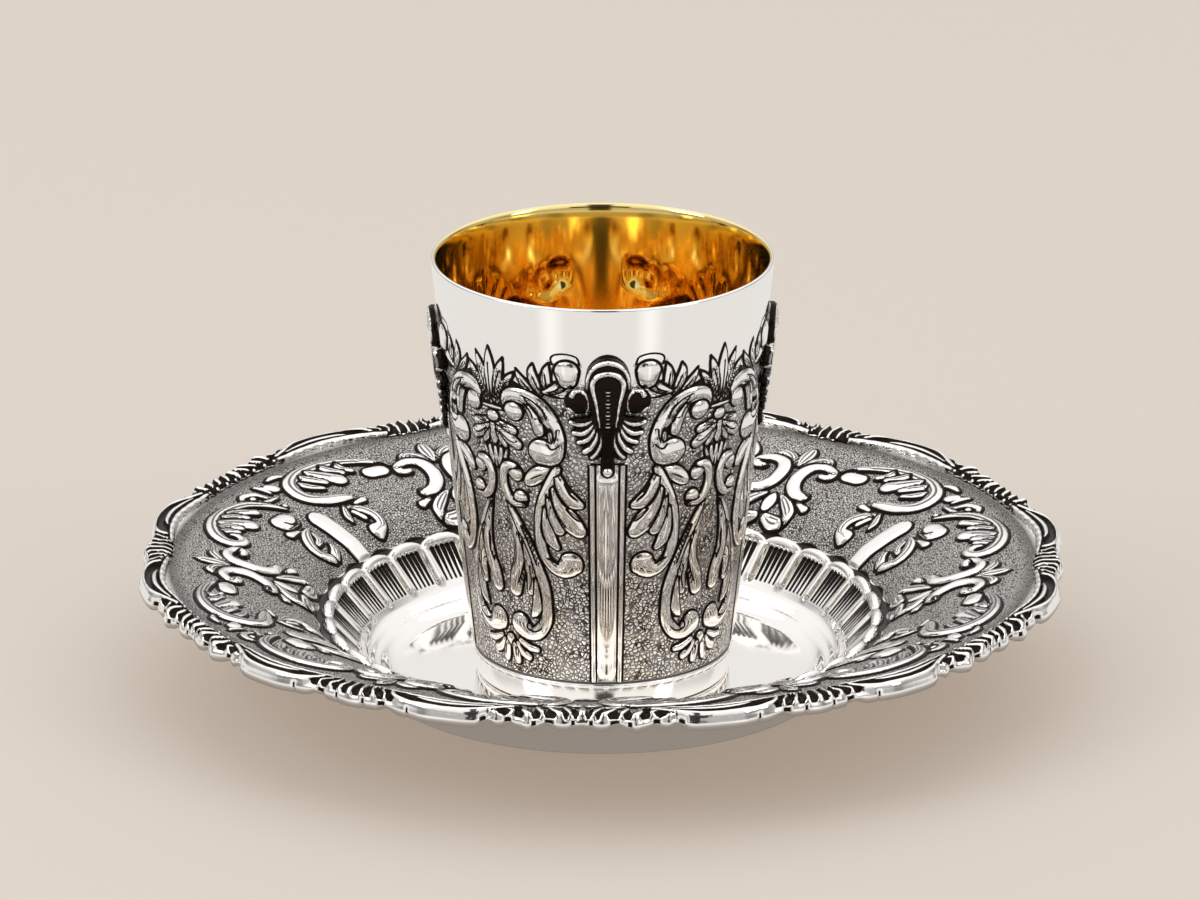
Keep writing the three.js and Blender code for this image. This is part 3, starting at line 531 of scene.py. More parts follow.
def drawn(relief, share):
    """The relief's dark lines as two numbers: how near one is, and the same with its side."""
    near = np.where(share > 0.5, np.clip(relief.line, 0, 2), 2)
    return {"near": near, "side": near * np.where(relief.side < 0, -1, 1)}


def keep_values(bm, **values):
    """Stores each named array of numbers on the vertices, for the materials to read."""
    layers = {name: bm.verts.layers.float.new(name) for name in values}
    for i, vert in enumerate(bm.verts):
        for name, layer in layers.items():
            vert[layer] = float(values[name][i])


def place_verts(bm, radius, height, angle):
    for vert, r, z, turn in zip(bm.verts, radius, height, angle):
        vert.co = (r * math.sin(turn), -r * math.cos(turn), z)


def mirrored(bm):
    """Adds the mirror image across x = 0, with its faces turned about."""
    geometry = bm.verts[:] + bm.edges[:] + bm.faces[:]
    copy = bmesh.ops.duplicate(bm, geom=geometry)["geom"]
    verts = [item for item in copy if isinstance(item, bmesh.types.BMVert)]
    for vert in verts:
        vert.co.x = -vert.co.x
    bmesh.ops.reverse_faces(bm, faces=[item for item in copy if isinstance(item, bmesh.types.BMFace)])


def repeated(bm, count, step):
    """Adds turned copies about the axis, so that there are count in all."""
    geometry = bm.verts[:] + bm.edges[:] + bm.faces[:]
    for i in range(1, count):
        copy = bmesh.ops.duplicate(bm, geom=geometry)["geom"]
        verts = [item for item in copy if isinstance(item, bmesh.types.BMVert)]
        bmesh.ops.rotate(bm, verts=verts, cent=(0, 0, 0), matrix=Matrix.Rotation(i * step, 3, "Z"))


def finished(bm, name, body, nodes, material, turn=0.0):
    """Closes the seams and makes the mesh a piece that stands for its solids."""
    bmesh.ops.remove_doubles(bm, verts=bm.verts, dist=2e-3)
    bmesh.ops.dissolve_degenerate(bm, dist=1e-4, edges=bm.edges)
    bmesh.ops.recalc_face_normals(bm, faces=bm.faces)
    bmesh.ops.rotate(bm, verts=bm.verts, cent=(0, 0, 0), matrix=Matrix.Rotation(turn, 3, "Z"))
    bmesh.ops.scale(bm, verts=bm.verts, vec=(MM, MM, MM))
    mesh = bpy.data.meshes.new(name)
    bm.to_mesh(mesh)
    bm.free()
    for polygon in mesh.polygons:
        polygon.use_smooth = True
    mesh.materials.append(material)
    piece = bpy.data.objects.new(name, mesh)
    bpy.context.scene.collection.objects.link(piece)
    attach(piece, body)
    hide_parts(*nodes)
    return piece


class Profile:
    """A turned wall's section, as stations of radius, height and way out.

    Stations may carry marks, which are numbers that fade from row to row.
    """

    def __init__(self):
        self.stations = []

    def add(self, r, z, out=(0, 0), **marks):
        self.stations.append((r, z, out[0], out[1], marks))

    def at(self, row, column):
        values = [station[column] for station in self.stations]
        return np.interp(row, range(len(values)), values)

    def mark(self, row, name):
        values = [station[4].get(name, 0.0) for station in self.stations]
        return np.interp(row, range(len(values)), values)

    def __len__(self):
        return len(self.stations)


# ---- cup

def cup_profile():
    profile = Profile()
    for r, z in [(0, 0.6), (9, 0.6), (18, 0.6), (20.2, 0.6), (20.6, 0.5), (20.9, 0.1), (21.2, 0), (22.5, 0),
                 (22.9, 0.06), (23.2, 0.25), (23.36, 0.55), (23.5, 1.2), (23.64, 2.2), (23.74, 3.2),
                 (23.8, 4.2), (23.84, 4.75), (23.78, 5.0), (23.6, 5.1), (23.5, 5.22), (23.5, 5.4)]:
        profile.add(r, z, ledge=1.0 if 5.05 <= z <= 5.41 and r > 23 else 0.0)
    for z in rows(CHASED_FROM, CHASED_TO, 0.62):
        profile.add(cup_radius(z), z, (1, 0), chased=1.0)
    for z in rows(72.4, CUP_HEIGHT - 0.6, 1.2):
        profile.add(cup_radius(z), z)
    for r, z in [(RIM_RADIUS - 0.04, 79.95), (RIM_RADIUS - 0.16, 80.2), (RIM_RADIUS - 0.4, 80.3),
                 (RIM_RADIUS - 0.66, 80.24), (RIM_RADIUS - 0.9, 80.0), (RIM_RADIUS - 1.02, 79.5)]:
        profile.add(r, z, gilt=1.0 if r < RIM_RADIUS - 0.5 else 0.0)
    for z in rows(78.4, 54, 0.9) + rows(52.2, 6.0, 2.2):
        chased = 0.8 if CHASED_FROM + 1 < z < CHASED_TO - 1 else 0.0
        profile.add(cup_radius(z) - WALL, z, (1, 0), gilt=1.0, inside=chased)
    for r, z in [(cup_radius(4.4) - 1.1, 4.4), (21.6, 3.0), (20.6, 2.2), (19, 1.85), (16, 1.8), (9, 1.8),
                 (0, 1.8)]:
        profile.add(r, z, gilt=1.0)
    return profile


def add_pilaster(relief):
    """Works half of a pilaster into the relief: a reeded rib, a groove and an edge fillet."""
    across, z = relief.points.T
    end = np.maximum(0, np.maximum(8.2 - z, z - 46.0))
    rib = 1 - (across / 2.0) ** 2 - (end / 2.0) ** 2
    fillet = 1 - ((across - 2.72) / 0.55) ** 2
    within = (across < 3.35) & (z < 49.6)
    height = np.maximum(0.75 * np.clip(rib, 0, 1) ** 0.7, 0.4 * np.clip(fillet, 0, 1))
    relief.height = np.where(within, height, relief.height)
    relief.depth = np.where(within, 1.0, relief.depth)
    relief.line = np.where(within, FAR, relief.line)
    below = z < 49.6
    relief.draw(below, np.abs(across - 3.35), np.sign(3.35 - across))
    relief.draw(below & (across < 3.35), np.abs(across - 2.12) * 1.2, np.sign(across - 2.12))
    relief.draw(across < 3.35, np.abs(z - 49.6), np.sign(49.6 - z))


def cup_body(material):
    profile = cup_profile()
    bm = strip_grid(32, len(profile))
    width = PANEL_HALF

    def worked(flat):
        relief = cup_relief(np.stack([flat[:, 0] * width, profile.at(flat[:, 1], 1)], 1))
        add_pilaster(relief)
        return relief

    refine(bm, lambda flat: (profile.mark(flat[:, 1], "chased") > 0.99) & (worked(flat).line < 0.55))
    flat = flat_points(bm)
    relief = worked(flat)
    row = flat[:, 1]
    chased = profile.mark(row, "chased")
    u, z = relief.points.T
    matted_to = np.interp(u, [3, 6, 9, 14, 17, 19, 22], [61, 61.5, 63.5, 62.5, 61, 58, 58])
    ground = np.clip(0.5 - relief.depth / 0.3, 0, 1) * np.clip((matted_to - z) / 0.5, 0, 1) * chased
    worked_rows = chased + profile.mark(row, "inside")
    place_verts(bm, profile.at(row, 0) + relief.height * worked_rows * profile.at(row, 2), z + CUP_BASE,
                u / STRIP_RADIUS)
    keep_values(bm, **drawn(relief, chased), ground=ground, gilt=profile.mark(row, "gilt"),
                ledge=profile.mark(row, "ledge"))
    mirrored(bm)
    repeated(bm, PANELS, math.tau / PANELS)
    return finished(bm, "chased_cup", "root", ["cup_body"], material)


# ---- cartouches

CARTOUCHE_BACK = 0.32
CARTOUCHE_EDGE = 0.9
CARTOUCHE_HALF, CARTOUCHE_FOOT, CARTOUCHE_TALL = 7.6, 46.9, 24.2


def cartouche(place, turn, material):
    bm = bmesh.new()
    bmesh.ops.create_grid(bm, x_segments=34, y_segments=104, size=0.5)
    for vert in bm.verts:
        vert.co = ((vert.co.x + 0.5) * CARTOUCHE_HALF, CARTOUCHE_FOOT + (vert.co.y + 0.5) * CARTOUCHE_TALL, 0)

    def worked():
        return cartouche_relief(flat_points(bm))

    depth = worked().depth
    outside = {vert for vert, value in zip(bm.verts, depth) if value < 0.02}
    bmesh.ops.delete(bm, geom=[face for face in bm.faces if any(vert in outside for vert in face.verts)],
                     context="FACES")
    # The stepped rim is drawn out to the plate's true outline.
    for _ in range(3):
        points = flat_points(bm)
        here = cartouche_relief(points).depth
        slope = np.stack([
            cartouche_relief(points + (0.05, 0)).depth - here,
            cartouche_relief(points + (0, 0.05)).depth - here], 1) / 0.05
        for vert, value, (du, dz) in zip(bm.verts, here, slope):
            if vert.is_boundary and vert.co.x > 1e-4:
                steep = max(0.3, du * du + dz * dz)
                vert.co.x -= np.clip(value * du / steep, -0.3, 0.3)
                vert.co.y -= np.clip(value * dz / steep, -0.3, 0.3)
                vert.co.x = max(vert.co.x, 0.0)
    relief = worked()
    u, z = relief.points.T
    swell = np.clip((z - 50.0) / 8.0, 0, 1) * np.clip((71.6 - z) / 4.0, 0.35, 1)
    front = CARTOUCHE_EDGE * (0.75 + 0.5 * swell) + relief.height
    front = np.where(relief.depth < 0.1, 0.7 * CARTOUCHE_EDGE, front)
    keep_values(bm, **drawn(relief, np.ones(len(u))), raised=relief.height)
    flat = {vert: (uu, zz) for vert, uu, zz in zip(bm.verts, u, z)}
    back = bmesh.ops.extrude_face_region(bm, geom=bm.faces[:], use_keep_orig=True)["geom"]
    back = [item for item in back if isinstance(item, bmesh.types.BMVert)]
    bm.verts.ensure_lookup_table()
    for vert in back:
        uu, zz = vert.co.x, vert.co.y
        r = cup_radius(zz) + CARTOUCHE_BACK
        turn_here = uu / STRIP_RADIUS
        vert.co = (r * math.sin(turn_here), -r * math.cos(turn_here), zz + CUP_BASE)
    for (vert, (uu, zz)), lift in zip(flat.items(), front):
        r = cup_radius(zz) + CARTOUCHE_BACK + lift
        vert.co = (r * math.sin(uu / STRIP_RADIUS), -r * math.cos(uu / STRIP_RADIUS), zz + CUP_BASE)
    # The cut through the middle is left open, and closes when the mirror image joins it.
    middle = [face for face in bm.faces if all(abs(vert.co.x) < 1e-5 for vert in face.verts)]
    bmesh.ops.delete(bm, geom=middle, context="FACES")
    mirrored(bm)
    return finished(bm, f"cast_cartouche_{place}", "root", [f"cup_cartouche_{place}"],
                    material, turn=turn)


# ---- saucer

# Degrees between two fine flutes, and the radii of a petal's foot, its joint and its rounding.
FLUTE_DEGREES = 1.37
PETAL_FOOT, PETAL_JOINT, PETAL_ROUND = 49.8, 50.7, 1.5


def petal_offset(degrees):
    """Degrees from the middle of the nearest petal."""
    return np.abs((degrees + PETAL_DEGREES / 2) % PETAL_DEGREES - PETAL_DEGREES / 2)


def dish_profile():
    profile = Profile()
    for r, z in [(0, 1.6), (12, 1.6), (22, 1.6), (30, 1.6), (35, 1.6), (37.6, 1.62), (38.8, 1.75),
                 (39.8, 2.1), (40.6, 2.6), (41.1, 3.0), (41.5, 3.12), (42.0, 3.12),
                 (42.4, 3.3), (42.8, 3.7), (43.2, 3.9),
                 (43.8, 4.15), (44.4, 4.9), (44.9, 5.6)]:
        profile.add(r, z)
    for r in rows(45.3, 50.0, 0.55):
        profile.add(r, 6.2 + (r - 45.3) * 1.06, (-0.7, 0.7), fluted=1.0)
    for r in rows(50.1, 52.9, 0.2):
        profile.add(r, 11.3 + 0.32 * (r - 50.1), (-0.2, 1.0), petal=1.0)
    for r in rows(FLANGE_FROM, FLANGE_TO, 0.66):
        profile.add(r, flange_height(r), (-0.25, 0.97), chased=1.0)
    for r, z in [(81.4, 22.75), (82.5, 22.9), (82.6, 22.4), (82.5, 21.85), (81, 21.5), (76, 20.4), (66.3, 18),
                 (58, 14.2), (51.6, 10.6), (46.5, 5.2), (43.2, 1.2), (42.2, 0.1), (41.8, 0), (39.6, 0),
                 (39.2, 0.1), (38.8, 0.5), (30, 0.5), (18, 0.5), (0, 0.5)]:
        profile.add(r, z, under=1.0)
    return profile


def saucer_dish(material):
    profile = dish_profile()
    width = math.radians(TILE_DEGREES) * FLANGE_RADIUS
    bm = strip_grid(96, len(profile))

    def worked(flat):
        return saucer_relief(np.stack([flat[:, 0] * width, profile.at(flat[:, 1], 0)], 1))

    refine(bm, lambda flat: (profile.mark(flat[:, 1], "chased") > 0.99) & (worked(flat).line < 0.55))
    flat = flat_points(bm)
    relief = worked(flat)
    row = flat[:, 1]
    chased = profile.mark(row, "chased")
    s, r = relief.points.T
    degrees = s / width * TILE_DEGREES
    offset = petal_offset(degrees)
    fluted, petal = profile.mark(row, "fluted"), profile.mark(row, "petal")
    # A broad rib stands under each joint of two petals, and fine flutes lie between.
    broad = np.clip(1 - ((offset - 5) / 1.15) ** 2, 0, 1)
    fine = np.cos(offset / FLUTE_DEGREES * math.tau) * (offset < 3.4)
    lift = fluted * (0.45 * np.sqrt(broad) - 0.16 * fine)
    # Each petal is a shell with a round edge, and a shadow is painted dark on the dish behind it.
    round_edge = PETAL_JOINT + PETAL_ROUND * np.sqrt(np.clip(1 - (offset / 5.15) ** 2, 0, 1))
    past = r - round_edge
    shell = np.sqrt(np.clip(1 - (offset / 5.4) ** 2, 0, 1)) * np.clip(-past / 0.7, 0, 1) ** 0.5
    lift = lift + petal * 1.5 * shell * np.clip((r - PETAL_FOOT) / 0.9, 0, 1) ** 0.5
    lift = lift + chased * relief.height
    place_verts(bm, r + lift * profile.at(row, 2), profile.at(row, 1) + lift * profile.at(row, 3),
                math.pi - np.radians(degrees))
    behind = np.minimum(past, 53.0 - 0.45 * np.cos(degrees / PETAL_DEGREES * math.tau) - r)
    keep_values(bm, **drawn(relief, chased), ground=np.clip(0.5 - relief.depth / 0.3, 0, 1) * chased,
                offset=offset, fluted=fluted * r / 50, behind=np.clip(behind, -1, 1), strand=relief.strand)
    repeated(bm, TILES // 2, -math.tau / TILES)
    mirrored(bm)
    return finished(bm, "chased_dish", "root", ["saucer_dish"], material, turn=SAUCER_TURN)


# ---- border

def swell_at(offset, middle, width):
    return np.exp(-((offset - middle) / width) ** 2)


def border_outer(offset):
    lobe = np.exp(-((offset - 13.2) / 5.2) ** 4)
    small = [(0, 2, 0.75), (7, 1.2, 0.4), (18.4, 0.7, -0.6), (19.4, 0.7, 0.4), (23.5, 1.2, 1.3),
             (27.6, 1.1, 0.45)]
    return 84.4 + 1.85 * lobe + sum(rise * swell_at(offset, middle, width) for middle, width, rise in small)


def border_inner(offset):
    beads = 0.12 * np.cos(offset * math.tau / 2.0)
    return 80.7 + 0.9 * swell_at(offset, 13.5, 5) - 1.1 * swell_at(offset, 0, 5) + beads


def border_foot(offset):
    """Height of the wall's lower edge, which rises and falls with the lobes."""
    small = [(5.2, 0.9, 0.7), (18.6, 0.9, 0.8), (21.2, 0.7, 0.5), (25.6, 0.8, 0.8), (29.9, 0.8, 0.5)]
    return BORDER_BOTTOM + sum(rise * swell_at(offset, middle, width) for middle, width, rise in small)


# Upright cuts in the wall: degrees from the tile's axis, and half-width.
NOTCHES = [(1.9, 0.25), (4.4, 0.7), (8.2, 0.2), (17.9, 0.45), (20.9, 0.6), (24.2, 0.35), (26, 0.8),
           (28.9, 0.3)]
BORDER_CROWN, WALL_TOP = 23.55, 22.65
# The border's underside steps in to this radius and height, just clear of the dish.
SEAT_RADIUS, SEAT_HEIGHT = 82.95, 23.2


def saucer_border(material):
    """Half a tile of the cast border, mirrored about the tile's axis and repeated."""
    across, wall, under = 24, 8, 6
    bm = strip_grid(128, across + wall + under)
    half_degrees = TILE_DEGREES / 2
    share, row = flat_points(bm).T
    offset = share * half_degrees
    inner, outer, foot = border_inner(offset), border_outer(offset), border_foot(offset)
    on_top = np.clip(row / across, 0, 1)
    down = np.clip((row - across) / wall, 0, 1)
    back = np.clip((row - across - wall) / (under - 1), 0, 1)
    r = inner + (outer - inner) * on_top
    bed = flange_height(np.minimum(inner, 82.6)) + 0.3
    z = bed + (BORDER_CROWN - bed) * np.sin(np.clip(on_top / 0.4, 0, 1) * math.pi / 2)
    z = z - 0.9 * np.clip((on_top - 0.8) / 0.2, 0, 1) ** 2

    relief = border_relief(np.stack([offset * BORDER_SCALE, r], 1))
    top = down <= 0
    fade = np.clip(on_top / 0.06, 0, 1) * np.clip((1 - on_top) / 0.05, 0.4, 1)
    height = np.where(top, np.where(relief.depth > 0, relief.height, -0.45) * fade, 0)
    z = np.where(top, np.minimum(z + height, BORDER_TOP), z)

    notch = np.min([np.abs(offset - at) * BORDER_SCALE / wide for at, wide in NOTCHES], axis=0)
    cut = 0.55 * np.exp(-notch ** 2)
    edge_z = WALL_TOP + (foot - WALL_TOP) * down
    belly = 0.25 * np.sin(down * math.pi) - 0.35 * down ** 3
    r = np.where(down > 0, outer + (belly - cut) * np.clip(down * 4, 0, 1), r)
    z = np.where(down > 0, edge_z, z)
    # The underside steps in to the dish's edge, and meets the first row again.
    last_r = outer - 0.35 - cut
    stops = [0, 0.4, 0.7, 1]
    share_in = np.interp(back, stops, [0, 1, 1, 1])
    r = np.where(back > 0, last_r + (SEAT_RADIUS - last_r) * share_in, r)
    z = np.where(back > 0, foot + (SEAT_HEIGHT - foot) * np.interp(back, stops, [0, 0.1, 1, 1]), z)
    closing = back > 0.75
    r = np.where(closing, inner, r)
    z = np.where(closing, bed, z)
    place_verts(bm, r, z, np.radians(offset))
    # The outer rim and the wall's lower half stay bright.
    edge = np.clip((0.97 - on_top) / 0.06, 0, 1)
    shallow = 4 * np.clip((down - 0.5) / 0.3, 0, 1)
    keep_values(
        bm,
        **drawn(relief, top * edge),
        ground=np.where(top, np.clip(0.5 - relief.depth / 0.3, 0, 1) * edge, 0),
        notch=np.where((down > 0) & (back <= 0), np.clip(notch + shallow, 0, 4), 4),
    )
    mirrored(bm)
    repeated(bm, TILES, math.tau / TILES)
    bmesh.ops.rotate(bm, verts=bm.verts, cent=(0, 0, 0), matrix=Matrix.Rotation(math.radians(30), 3, "Z"))
    return finished(bm, "cast_border", "root", ["saucer_border"], material, turn=SAUCER_TURN)


# ---- shader maths

class Value:
    """A socket that Python expressions can do sums with."""

    def __init__(self, shader, socket):
        self.shader, self.socket = shader, socket

    def _math(self, operation, *others, first=None):
        values = [self if first is None else first, *others]
        return self.shader.node("ShaderNodeMath", {"operation": operation}, dict(enumerate(values)))

    def __add__(self, other): return self._math("ADD", other)
    def __radd__(self, other): return self._math("ADD", other)
    def __sub__(self, other): return self._math("SUBTRACT", other)
    def __rsub__(self, other): return self._math("SUBTRACT", self, first=other)
    def __mul__(self, other): return self._math("MULTIPLY", other)
    def __rmul__(self, other): return self._math("MULTIPLY", other)
    def __truediv__(self, other): return self._math("DIVIDE", other)
    def __pow__(self, other): return self._math("POWER", other)

    def least(self, other): return self._math("MINIMUM", other)
    def most(self, other): return self._math("MAXIMUM", other)
    def size(self): return self._math("ABSOLUTE")

    def step(self, start, end):
        """0 below start, 1 above end, and smooth between; start may be the larger."""
        return self.shader.node("ShaderNodeMapRange", {"interpolation_type": "SMOOTHSTEP"}, {
            "Value": self, "From Min": start, "From Max": end, "To Min": 0.0, "To Max": 1.0})


class Shader:
    """A node tree in the making, with one method for every node."""

    def __init__(self, tree):
        self.tree = tree

    def node(self, kind, settings, inputs, output=0):
        made = self.tree.nodes.new(kind)
        for key, value in settings.items():
            setattr(made, key, value)
        for key, value in inputs.items():
            self.put(made.inputs[key], value)
        return Value(self, made.outputs[output])

    def put(self, socket, value):
        if isinstance(value, Value):
            self.tree.links.new(value.socket, socket)
        elif isinstance(value, (tuple, list)) and len(value) == 3 and socket.type == "RGBA":
            socket.default_value = (*value, 1)
        else:
            socket.default_value = value

    def place(self):
        return self.node("ShaderNodeTexCoord", {}, {}, "Object")

    def kept(self, name):
        """A number stored on the mesh."""
        return self.node("ShaderNodeAttribute", {"attribute_name": name}, {}, "Fac")

    def noise(self, scale, detail):
        return self.node("ShaderNodeTexNoise", {}, {
            "Vector": self.place(), "Scale": scale, "Detail": detail, "Roughness": 0.5}, "Fac")

    def blend(self, factor, first, second):
        """The first colour where the factor is 0, and the second where it is 1."""
        return self.node("ShaderNodeMix", {"data_type": "RGBA", "clamp_factor": True}, {
            0: factor, 6: first, 7: second}, 2)

    def bump(self, height, distance, strength):
        return self.node("ShaderNodeBump", {}, {"Height": height, "Distance": distance, "Strength": strength})

    def axes(self, vector):
        """The three numbers of a vector."""
        parts = self.node("ShaderNodeSeparateXYZ", {}, {"Vector": vector}).socket.node
        return [Value(self, output) for output in parts.outputs]


class Finish(Shader):
    """A material, whose surface is one Principled shader."""

    def __init__(self, name):
        self.material = bpy.data.materials.new(name)
        self.material.use_nodes = True
        super().__init__(self.material.node_tree)
        self.surface = self.tree.nodes["Principled BSDF"]

    def set(self, **values):
        names = {"colour": "Base Color", "roughness": "Roughness", "metallic": "Metallic", "normal": "Normal",
                 "glow": "Emission Color", "glow_strength": "Emission Strength"}
        for key, value in values.items():
            self.put(self.surface.inputs[names[key]], value)


# ---- finishes

SILVER = (0.96, 0.94, 0.915)
SAUCER_REFLECTION_SILVER = (0.97, 0.86, 0.73)
OXIDE = (0.018, 0.012, 0.009)
GREY_OXIDE = (0.25, 0.20, 0.16)
GOLD = (0.97, 0.76, 0.32)
PAINTED_SHADE_GOLD = (0.86, 0.56, 0.18)

# Heights and radii, in metres, between which the painted reflection, the painted shade and the border's oxide
# fade in or out.
SAUCER_REFLECTION_FADES_IN = (0.058, 0.035)
SAUCER_REFLECTION_ENDS = (0.0066, 0.008)
GOLD_PAINTED_SHADE = (0.078, 0.058)
BORDER_SHADE_AND_OXIDE = (0.0765, 0.08)
FLOOR_PAINTED_SHADOW_ENDS = (0.085, 0.15)


def inked(shader, full, none):
    """1 on the relief's dark lines. A line's sides differ in sign, so it stays sharp between vertices."""
    across = shader.kept("side").size().step(none, full)
    return across * shader.kept("near").step(0.62, 0.42)


def stipple(shader, size, gap):
    """Punched ground: 1 in the dark gaps between pebbles of a size, and the pebbles' own height."""
    place = shader.place()
    wander = shader.node("ShaderNodeTexNoise", {}, {"Vector": place, "Scale": 700.0, "Detail": 1.0}, "Color")
    moved = shader.node("ShaderNodeVectorMath", {"operation": "MULTIPLY_ADD"}, {
        0: wander, 1: (0.0005, 0.0005, 0.0005), 2: place})
    edge = shader.node("ShaderNodeTexVoronoi", {"feature": "DISTANCE_TO_EDGE"}, {
        "Vector": moved, "Scale": 1 / (size * MM), "Randomness": 1.0}, "Distance")
    return edge.step(gap, gap * 0.35), edge.step(0.0, 0.4)


def cup_silver():
    shader = Finish("chased_polished_silver")
    ground, gilt, ledge = shader.kept("ground"), shader.kept("gilt"), shader.kept("ledge")
    line = inked(shader, 0.17, 0.29)
    gaps, pebble = stipple(shader, 0.74, 0.2)
    patch = shader.noise(260, 2.0).step(0.35, 0.7)
    dark = line.most(ground * gaps * (0.7 + 0.28 * patch)).most(ledge * 0.9)
    height_up = shader.axes(shader.place())[2]
    # A painted reflection of the saucer: the silver is tinted warm, in patches, between these heights up the
    # cup.
    painted_saucer_reflection = height_up.step(*SAUCER_REFLECTION_FADES_IN) * height_up.step(*SAUCER_REFLECTION_ENDS)
    painted_saucer_reflection = painted_saucer_reflection * (0.25 + 0.6 * shader.noise(120, 2.0).step(0.35, 0.7))
    silver = shader.blend(painted_saucer_reflection, SILVER, SAUCER_REFLECTION_SILVER)
    silver = shader.blend(ground * 0.06, silver, GREY_OXIDE)
    silver = shader.blend(dark, silver, OXIDE)
    # Painted shade: the gilt is painted darker and redder lower down inside the cup.
    gold = shader.blend(height_up.step(*GOLD_PAINTED_SHADE), GOLD, PAINTED_SHADE_GOLD)
    colour = shader.blend(gilt.step(0.4, 0.6), silver, gold)
    height = (1 - line) * 0.5 + ground * pebble * 0.55
    shader.set(
        colour=colour,
        metallic=1.0,
        roughness=0.07 + 0.3 * dark + 0.14 * ground + 0.03 * shader.noise(2600, 2.0),
        normal=shader.bump(height, 0.00025, 0.9),
    )
    return shader.material


def dish_silver():
    shader = Finish("matted_chased_silver")
    ground, offset, fluted = shader.kept("ground"), shader.kept("offset"), shader.kept("fluted")
    line = inked(shader, 0.22, 0.36)
    strand = shader.kept("strand")
    vein = (strand - 0.18).size().least((strand + 0.42).size()).step(0.17, 0.06)
    gaps, pebble = stipple(shader, 0.5, 0.19)
    gash = fluted.step(0.90, 1.0) * 0.34
    groove = (offset - FLUTE_DEGREES).size().least(offset).least((offset - 2 * FLUTE_DEGREES).size())
    flute = (groove - gash).step(0.42, 0.22)
    # A shadow painted on the dish behind each petal. It joins the cut lines, veins and flutes as dark.
    behind = shader.kept("behind").step(-0.16, 0.04)
    cut = line.most(vein * 0.85).most(flute * fluted.step(0.3, 0.8)).most(behind)
    # Near the border the ground is darkened, partly as oxide and partly as painted shade from the border's
    # wall.
    east, north, _ = shader.axes(shader.place())
    border_shade_and_oxide = ((east * east + north * north) ** 0.5).step(*BORDER_SHADE_AND_OXIDE)
    dark = cut.most(ground * gaps * 0.9).most(ground * border_shade_and_oxide * 0.62)
    silver = shader.blend(ground * 0.26, SILVER, GREY_OXIDE)
    silver = shader.blend(dark, silver, OXIDE)
    height = (1 - cut) * 0.5 + ground * pebble * 0.35
    shader.set(
        colour=silver,
        metallic=1.0,
        roughness=0.05 + 0.3 * dark + 0.28 * ground + 0.03 * shader.noise(2400, 2.0),
        normal=shader.bump(height, 0.00028, 1.0),
    )
    return shader.material


def border_silver():
    shader = Finish("cast_bright_silver")
    ground, notch = shader.kept("ground"), shader.kept("notch")
    line = inked(shader, 0.15, 0.25)
    recess = ground.step(0.35, 0.65)
    dark = line.most(recess).most(notch.step(1.25, 0.75))
    shader.set(
        colour=shader.blend(dark, SILVER, OXIDE),
        metallic=1.0,
        roughness=0.09 + 0.3 * dark,
        normal=shader.bump((1 - dark) * 0.5 + 0.2 * shader.noise(700, 3.0), 0.0002, 0.8),
    )
    return shader.material


def blackened_silver():
    shader = Finish("cast_blackened_silver")
    bright = shader.kept("raised").step(0.28, 0.42) * (1 - inked(shader, 0.06, 0.13))
    shader.set(
        colour=shader.blend(bright, OXIDE, SILVER),
        metallic=1.0,
        roughness=0.24 - 0.14 * bright,
        normal=shader.bump(shader.noise(1100, 3.0), 0.0001, 0.4),
    )
    return shader.material


BACKDROP = (0.716, 0.645, 0.578)
PAPER = (0.42, 0.415, 0.395)
GLOW = (0.26, 0.195, 0.145)


def floor_finish():
    """Pale paper to look at, which the silver sees as a white glow, painted dimmer and warmer under the
    saucer as shadow and brighter in two sectors as highlights.
    """
    shader = Finish("pale_paper")
    shader.set(colour=PAPER, roughness=0.9, metallic=0.0, glow=GLOW, glow_strength=1.0)
    seen = shader.node("ShaderNodeLightPath", {}, {}, "Is Camera Ray")
    east, north, _ = shader.axes(shader.place())
    # The glow that the silver sees is painted dimmer and warmer under the saucer, as a painted shadow.
    clear_of_painted_shadow = ((east * east + north * north) ** 0.5).step(*FLOOR_PAINTED_SHADOW_ENDS)
    turn = shader.node("ShaderNodeMath", {"operation": "ARCTAN2"}, {0: east, 1: 0 - north})
    # Two sectors of the glow are painted brighter, as painted highlights on the silver.
    glints = (turn + 0.62).size().step(0.2, 0.0) + (turn - 0.5).size().step(0.2, 0.0)
    tint = shader.blend(clear_of_painted_shadow, (1.0, 0.88, 0.77), (1.0, 0.975, 0.945))
    white = shader.node("ShaderNodeEmission", {}, {
        "Color": tint, "Strength": 0.30 + (0.52 + 0.20 * glints) * clear_of_painted_shadow}, 0)
    paper = Value(shader, shader.surface.outputs[0])
    mixed = shader.node("ShaderNodeMixShader", {}, {0: seen, 1: white, 2: paper})
    out = shader.tree.nodes["Material Output"]
    shader.put(out.inputs["Surface"], mixed)
    return shader.material


# ---- studio

CAMERA_DISTANCE = 2.1626
CAMERA_ELEVATION = math.radians(19.336)
CAMERA_TURN = math.radians(-1.8)
CAMERA_TARGET = (-0.000466, 0.0, 0.04406)


def camera():
    level = CAMERA_DISTANCE * math.cos(CAMERA_ELEVATION)
    data = bpy.data.cameras.new("studio_camera")
    data.lens = 351.4
    data.sensor_width = 36.0
    data.clip_start, data.clip_end = 0.05, 50.0
    made = bpy.data.objects.new("studio_camera", data)
    target = Matrix.Rotation(CAMERA_TURN, 3, "Z") @ Vector(CAMERA_TARGET)
    place = target + Vector((level * math.sin(CAMERA_TURN), -level * math.cos(CAMERA_TURN),
                             CAMERA_DISTANCE * math.sin(CAMERA_ELEVATION)))
    made.location = place
    made.rotation_euler = (target - place).to_track_quat("-Z", "Y").to_euler()
    bpy.context.scene.collection.objects.link(made)
    bpy.context.scene.camera = made


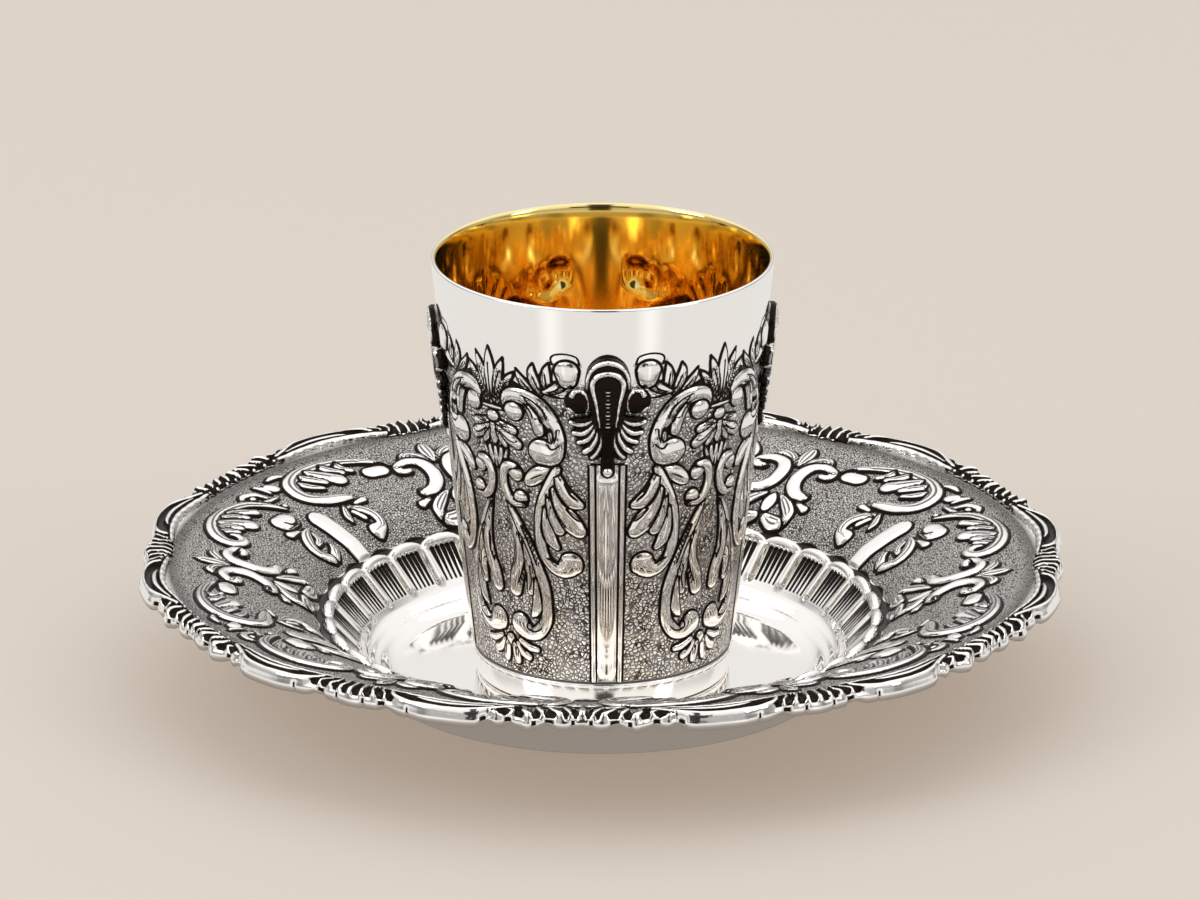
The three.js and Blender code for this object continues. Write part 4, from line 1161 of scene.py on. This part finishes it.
def softbox(name, place, size, power, colour=(1, 1, 1), target=(0, 0, 0.03)):
    data = bpy.data.lights.new(name, "AREA")
    data.shape = "RECTANGLE"
    data.size, data.size_y = size
    data.energy = power
    data.color = colour
    made = bpy.data.objects.new(name, data)
    made.location = place
    made.rotation_euler = (Vector(target) - Vector(place)).to_track_quat("-Z", "Y").to_euler()
    bpy.context.scene.collection.objects.link(made)


def studio():
    """A white tent with a dark slit and window where the camera looks in, and three softboxes."""
    world = bpy.data.worlds.new("studio_tent")
    bpy.context.scene.world = world
    world.use_nodes = True
    shader = Shader(world.node_tree)
    way = shader.node("ShaderNodeTexCoord", {}, {}, "Generated")
    east, north, high = shader.axes(way)
    wall = 0.62 + 0.38 * high.step(0.05, 0.55)
    band = high.step(0.02, 0.10) * high.step(0.34, 0.2)
    towards = north.step(-0.3, -0.5)
    slit = east.size().step(0.16, 0.10) * towards * high.step(-0.05, 0.02)
    window = east.size().step(0.35, 0.33) * towards * high.step(0.16, 0.2) * high.step(0.46, 0.42)
    slit = slit.most(window)
    flanks = (east.size() - 0.86).size().step(0.14, 0.04) * high.step(0.6, 0.3)
    grey = wall * (1 - 0.30 * band) * (1 - 0.94 * slit) * (1 - 0.45 * flanks)
    colour = shader.blend(grey, (0.0, 0.0, 0.0), (1.0, 0.99, 0.975))
    seen = shader.node("ShaderNodeLightPath", {}, {}, "Is Camera Ray")
    colour = shader.blend(seen, colour, BACKDROP)
    background = world.node_tree.nodes["Background"]
    shader.put(background.inputs["Color"], colour)
    background.inputs["Strength"].default_value = 1.0
    softbox("top_softbox", (0, 0.1, 1.3), (2.2, 2.2), 3)
    softbox("left_softbox", (-1.1, -0.5, 0.8), (0.6, 0.8), 4)
    softbox("right_softbox", (1.1, -0.7, 0.7), (0.35, 0.8), 2)

    bm = bmesh.new()
    bmesh.ops.create_circle(bm, cap_ends=True, radius=6.0, segments=96)
    mesh = bpy.data.meshes.new("studio_floor")
    bm.to_mesh(mesh)
    bm.free()
    mesh.materials.append(floor_finish())
    floor = bpy.data.objects.new("studio_floor", mesh)
    bpy.context.scene.collection.objects.link(floor)
    settings = bpy.context.scene.view_settings
    settings.view_transform = "Standard"


# ---- the set

camera()
studio()
cup_body(cup_silver())
cast = blackened_silver()
for i, place in enumerate(("front", "right", "back", "left")):
    cartouche(place, i * math.tau / PANELS, cast)
saucer_dish(dish_silver())
saucer_border(border_silver())
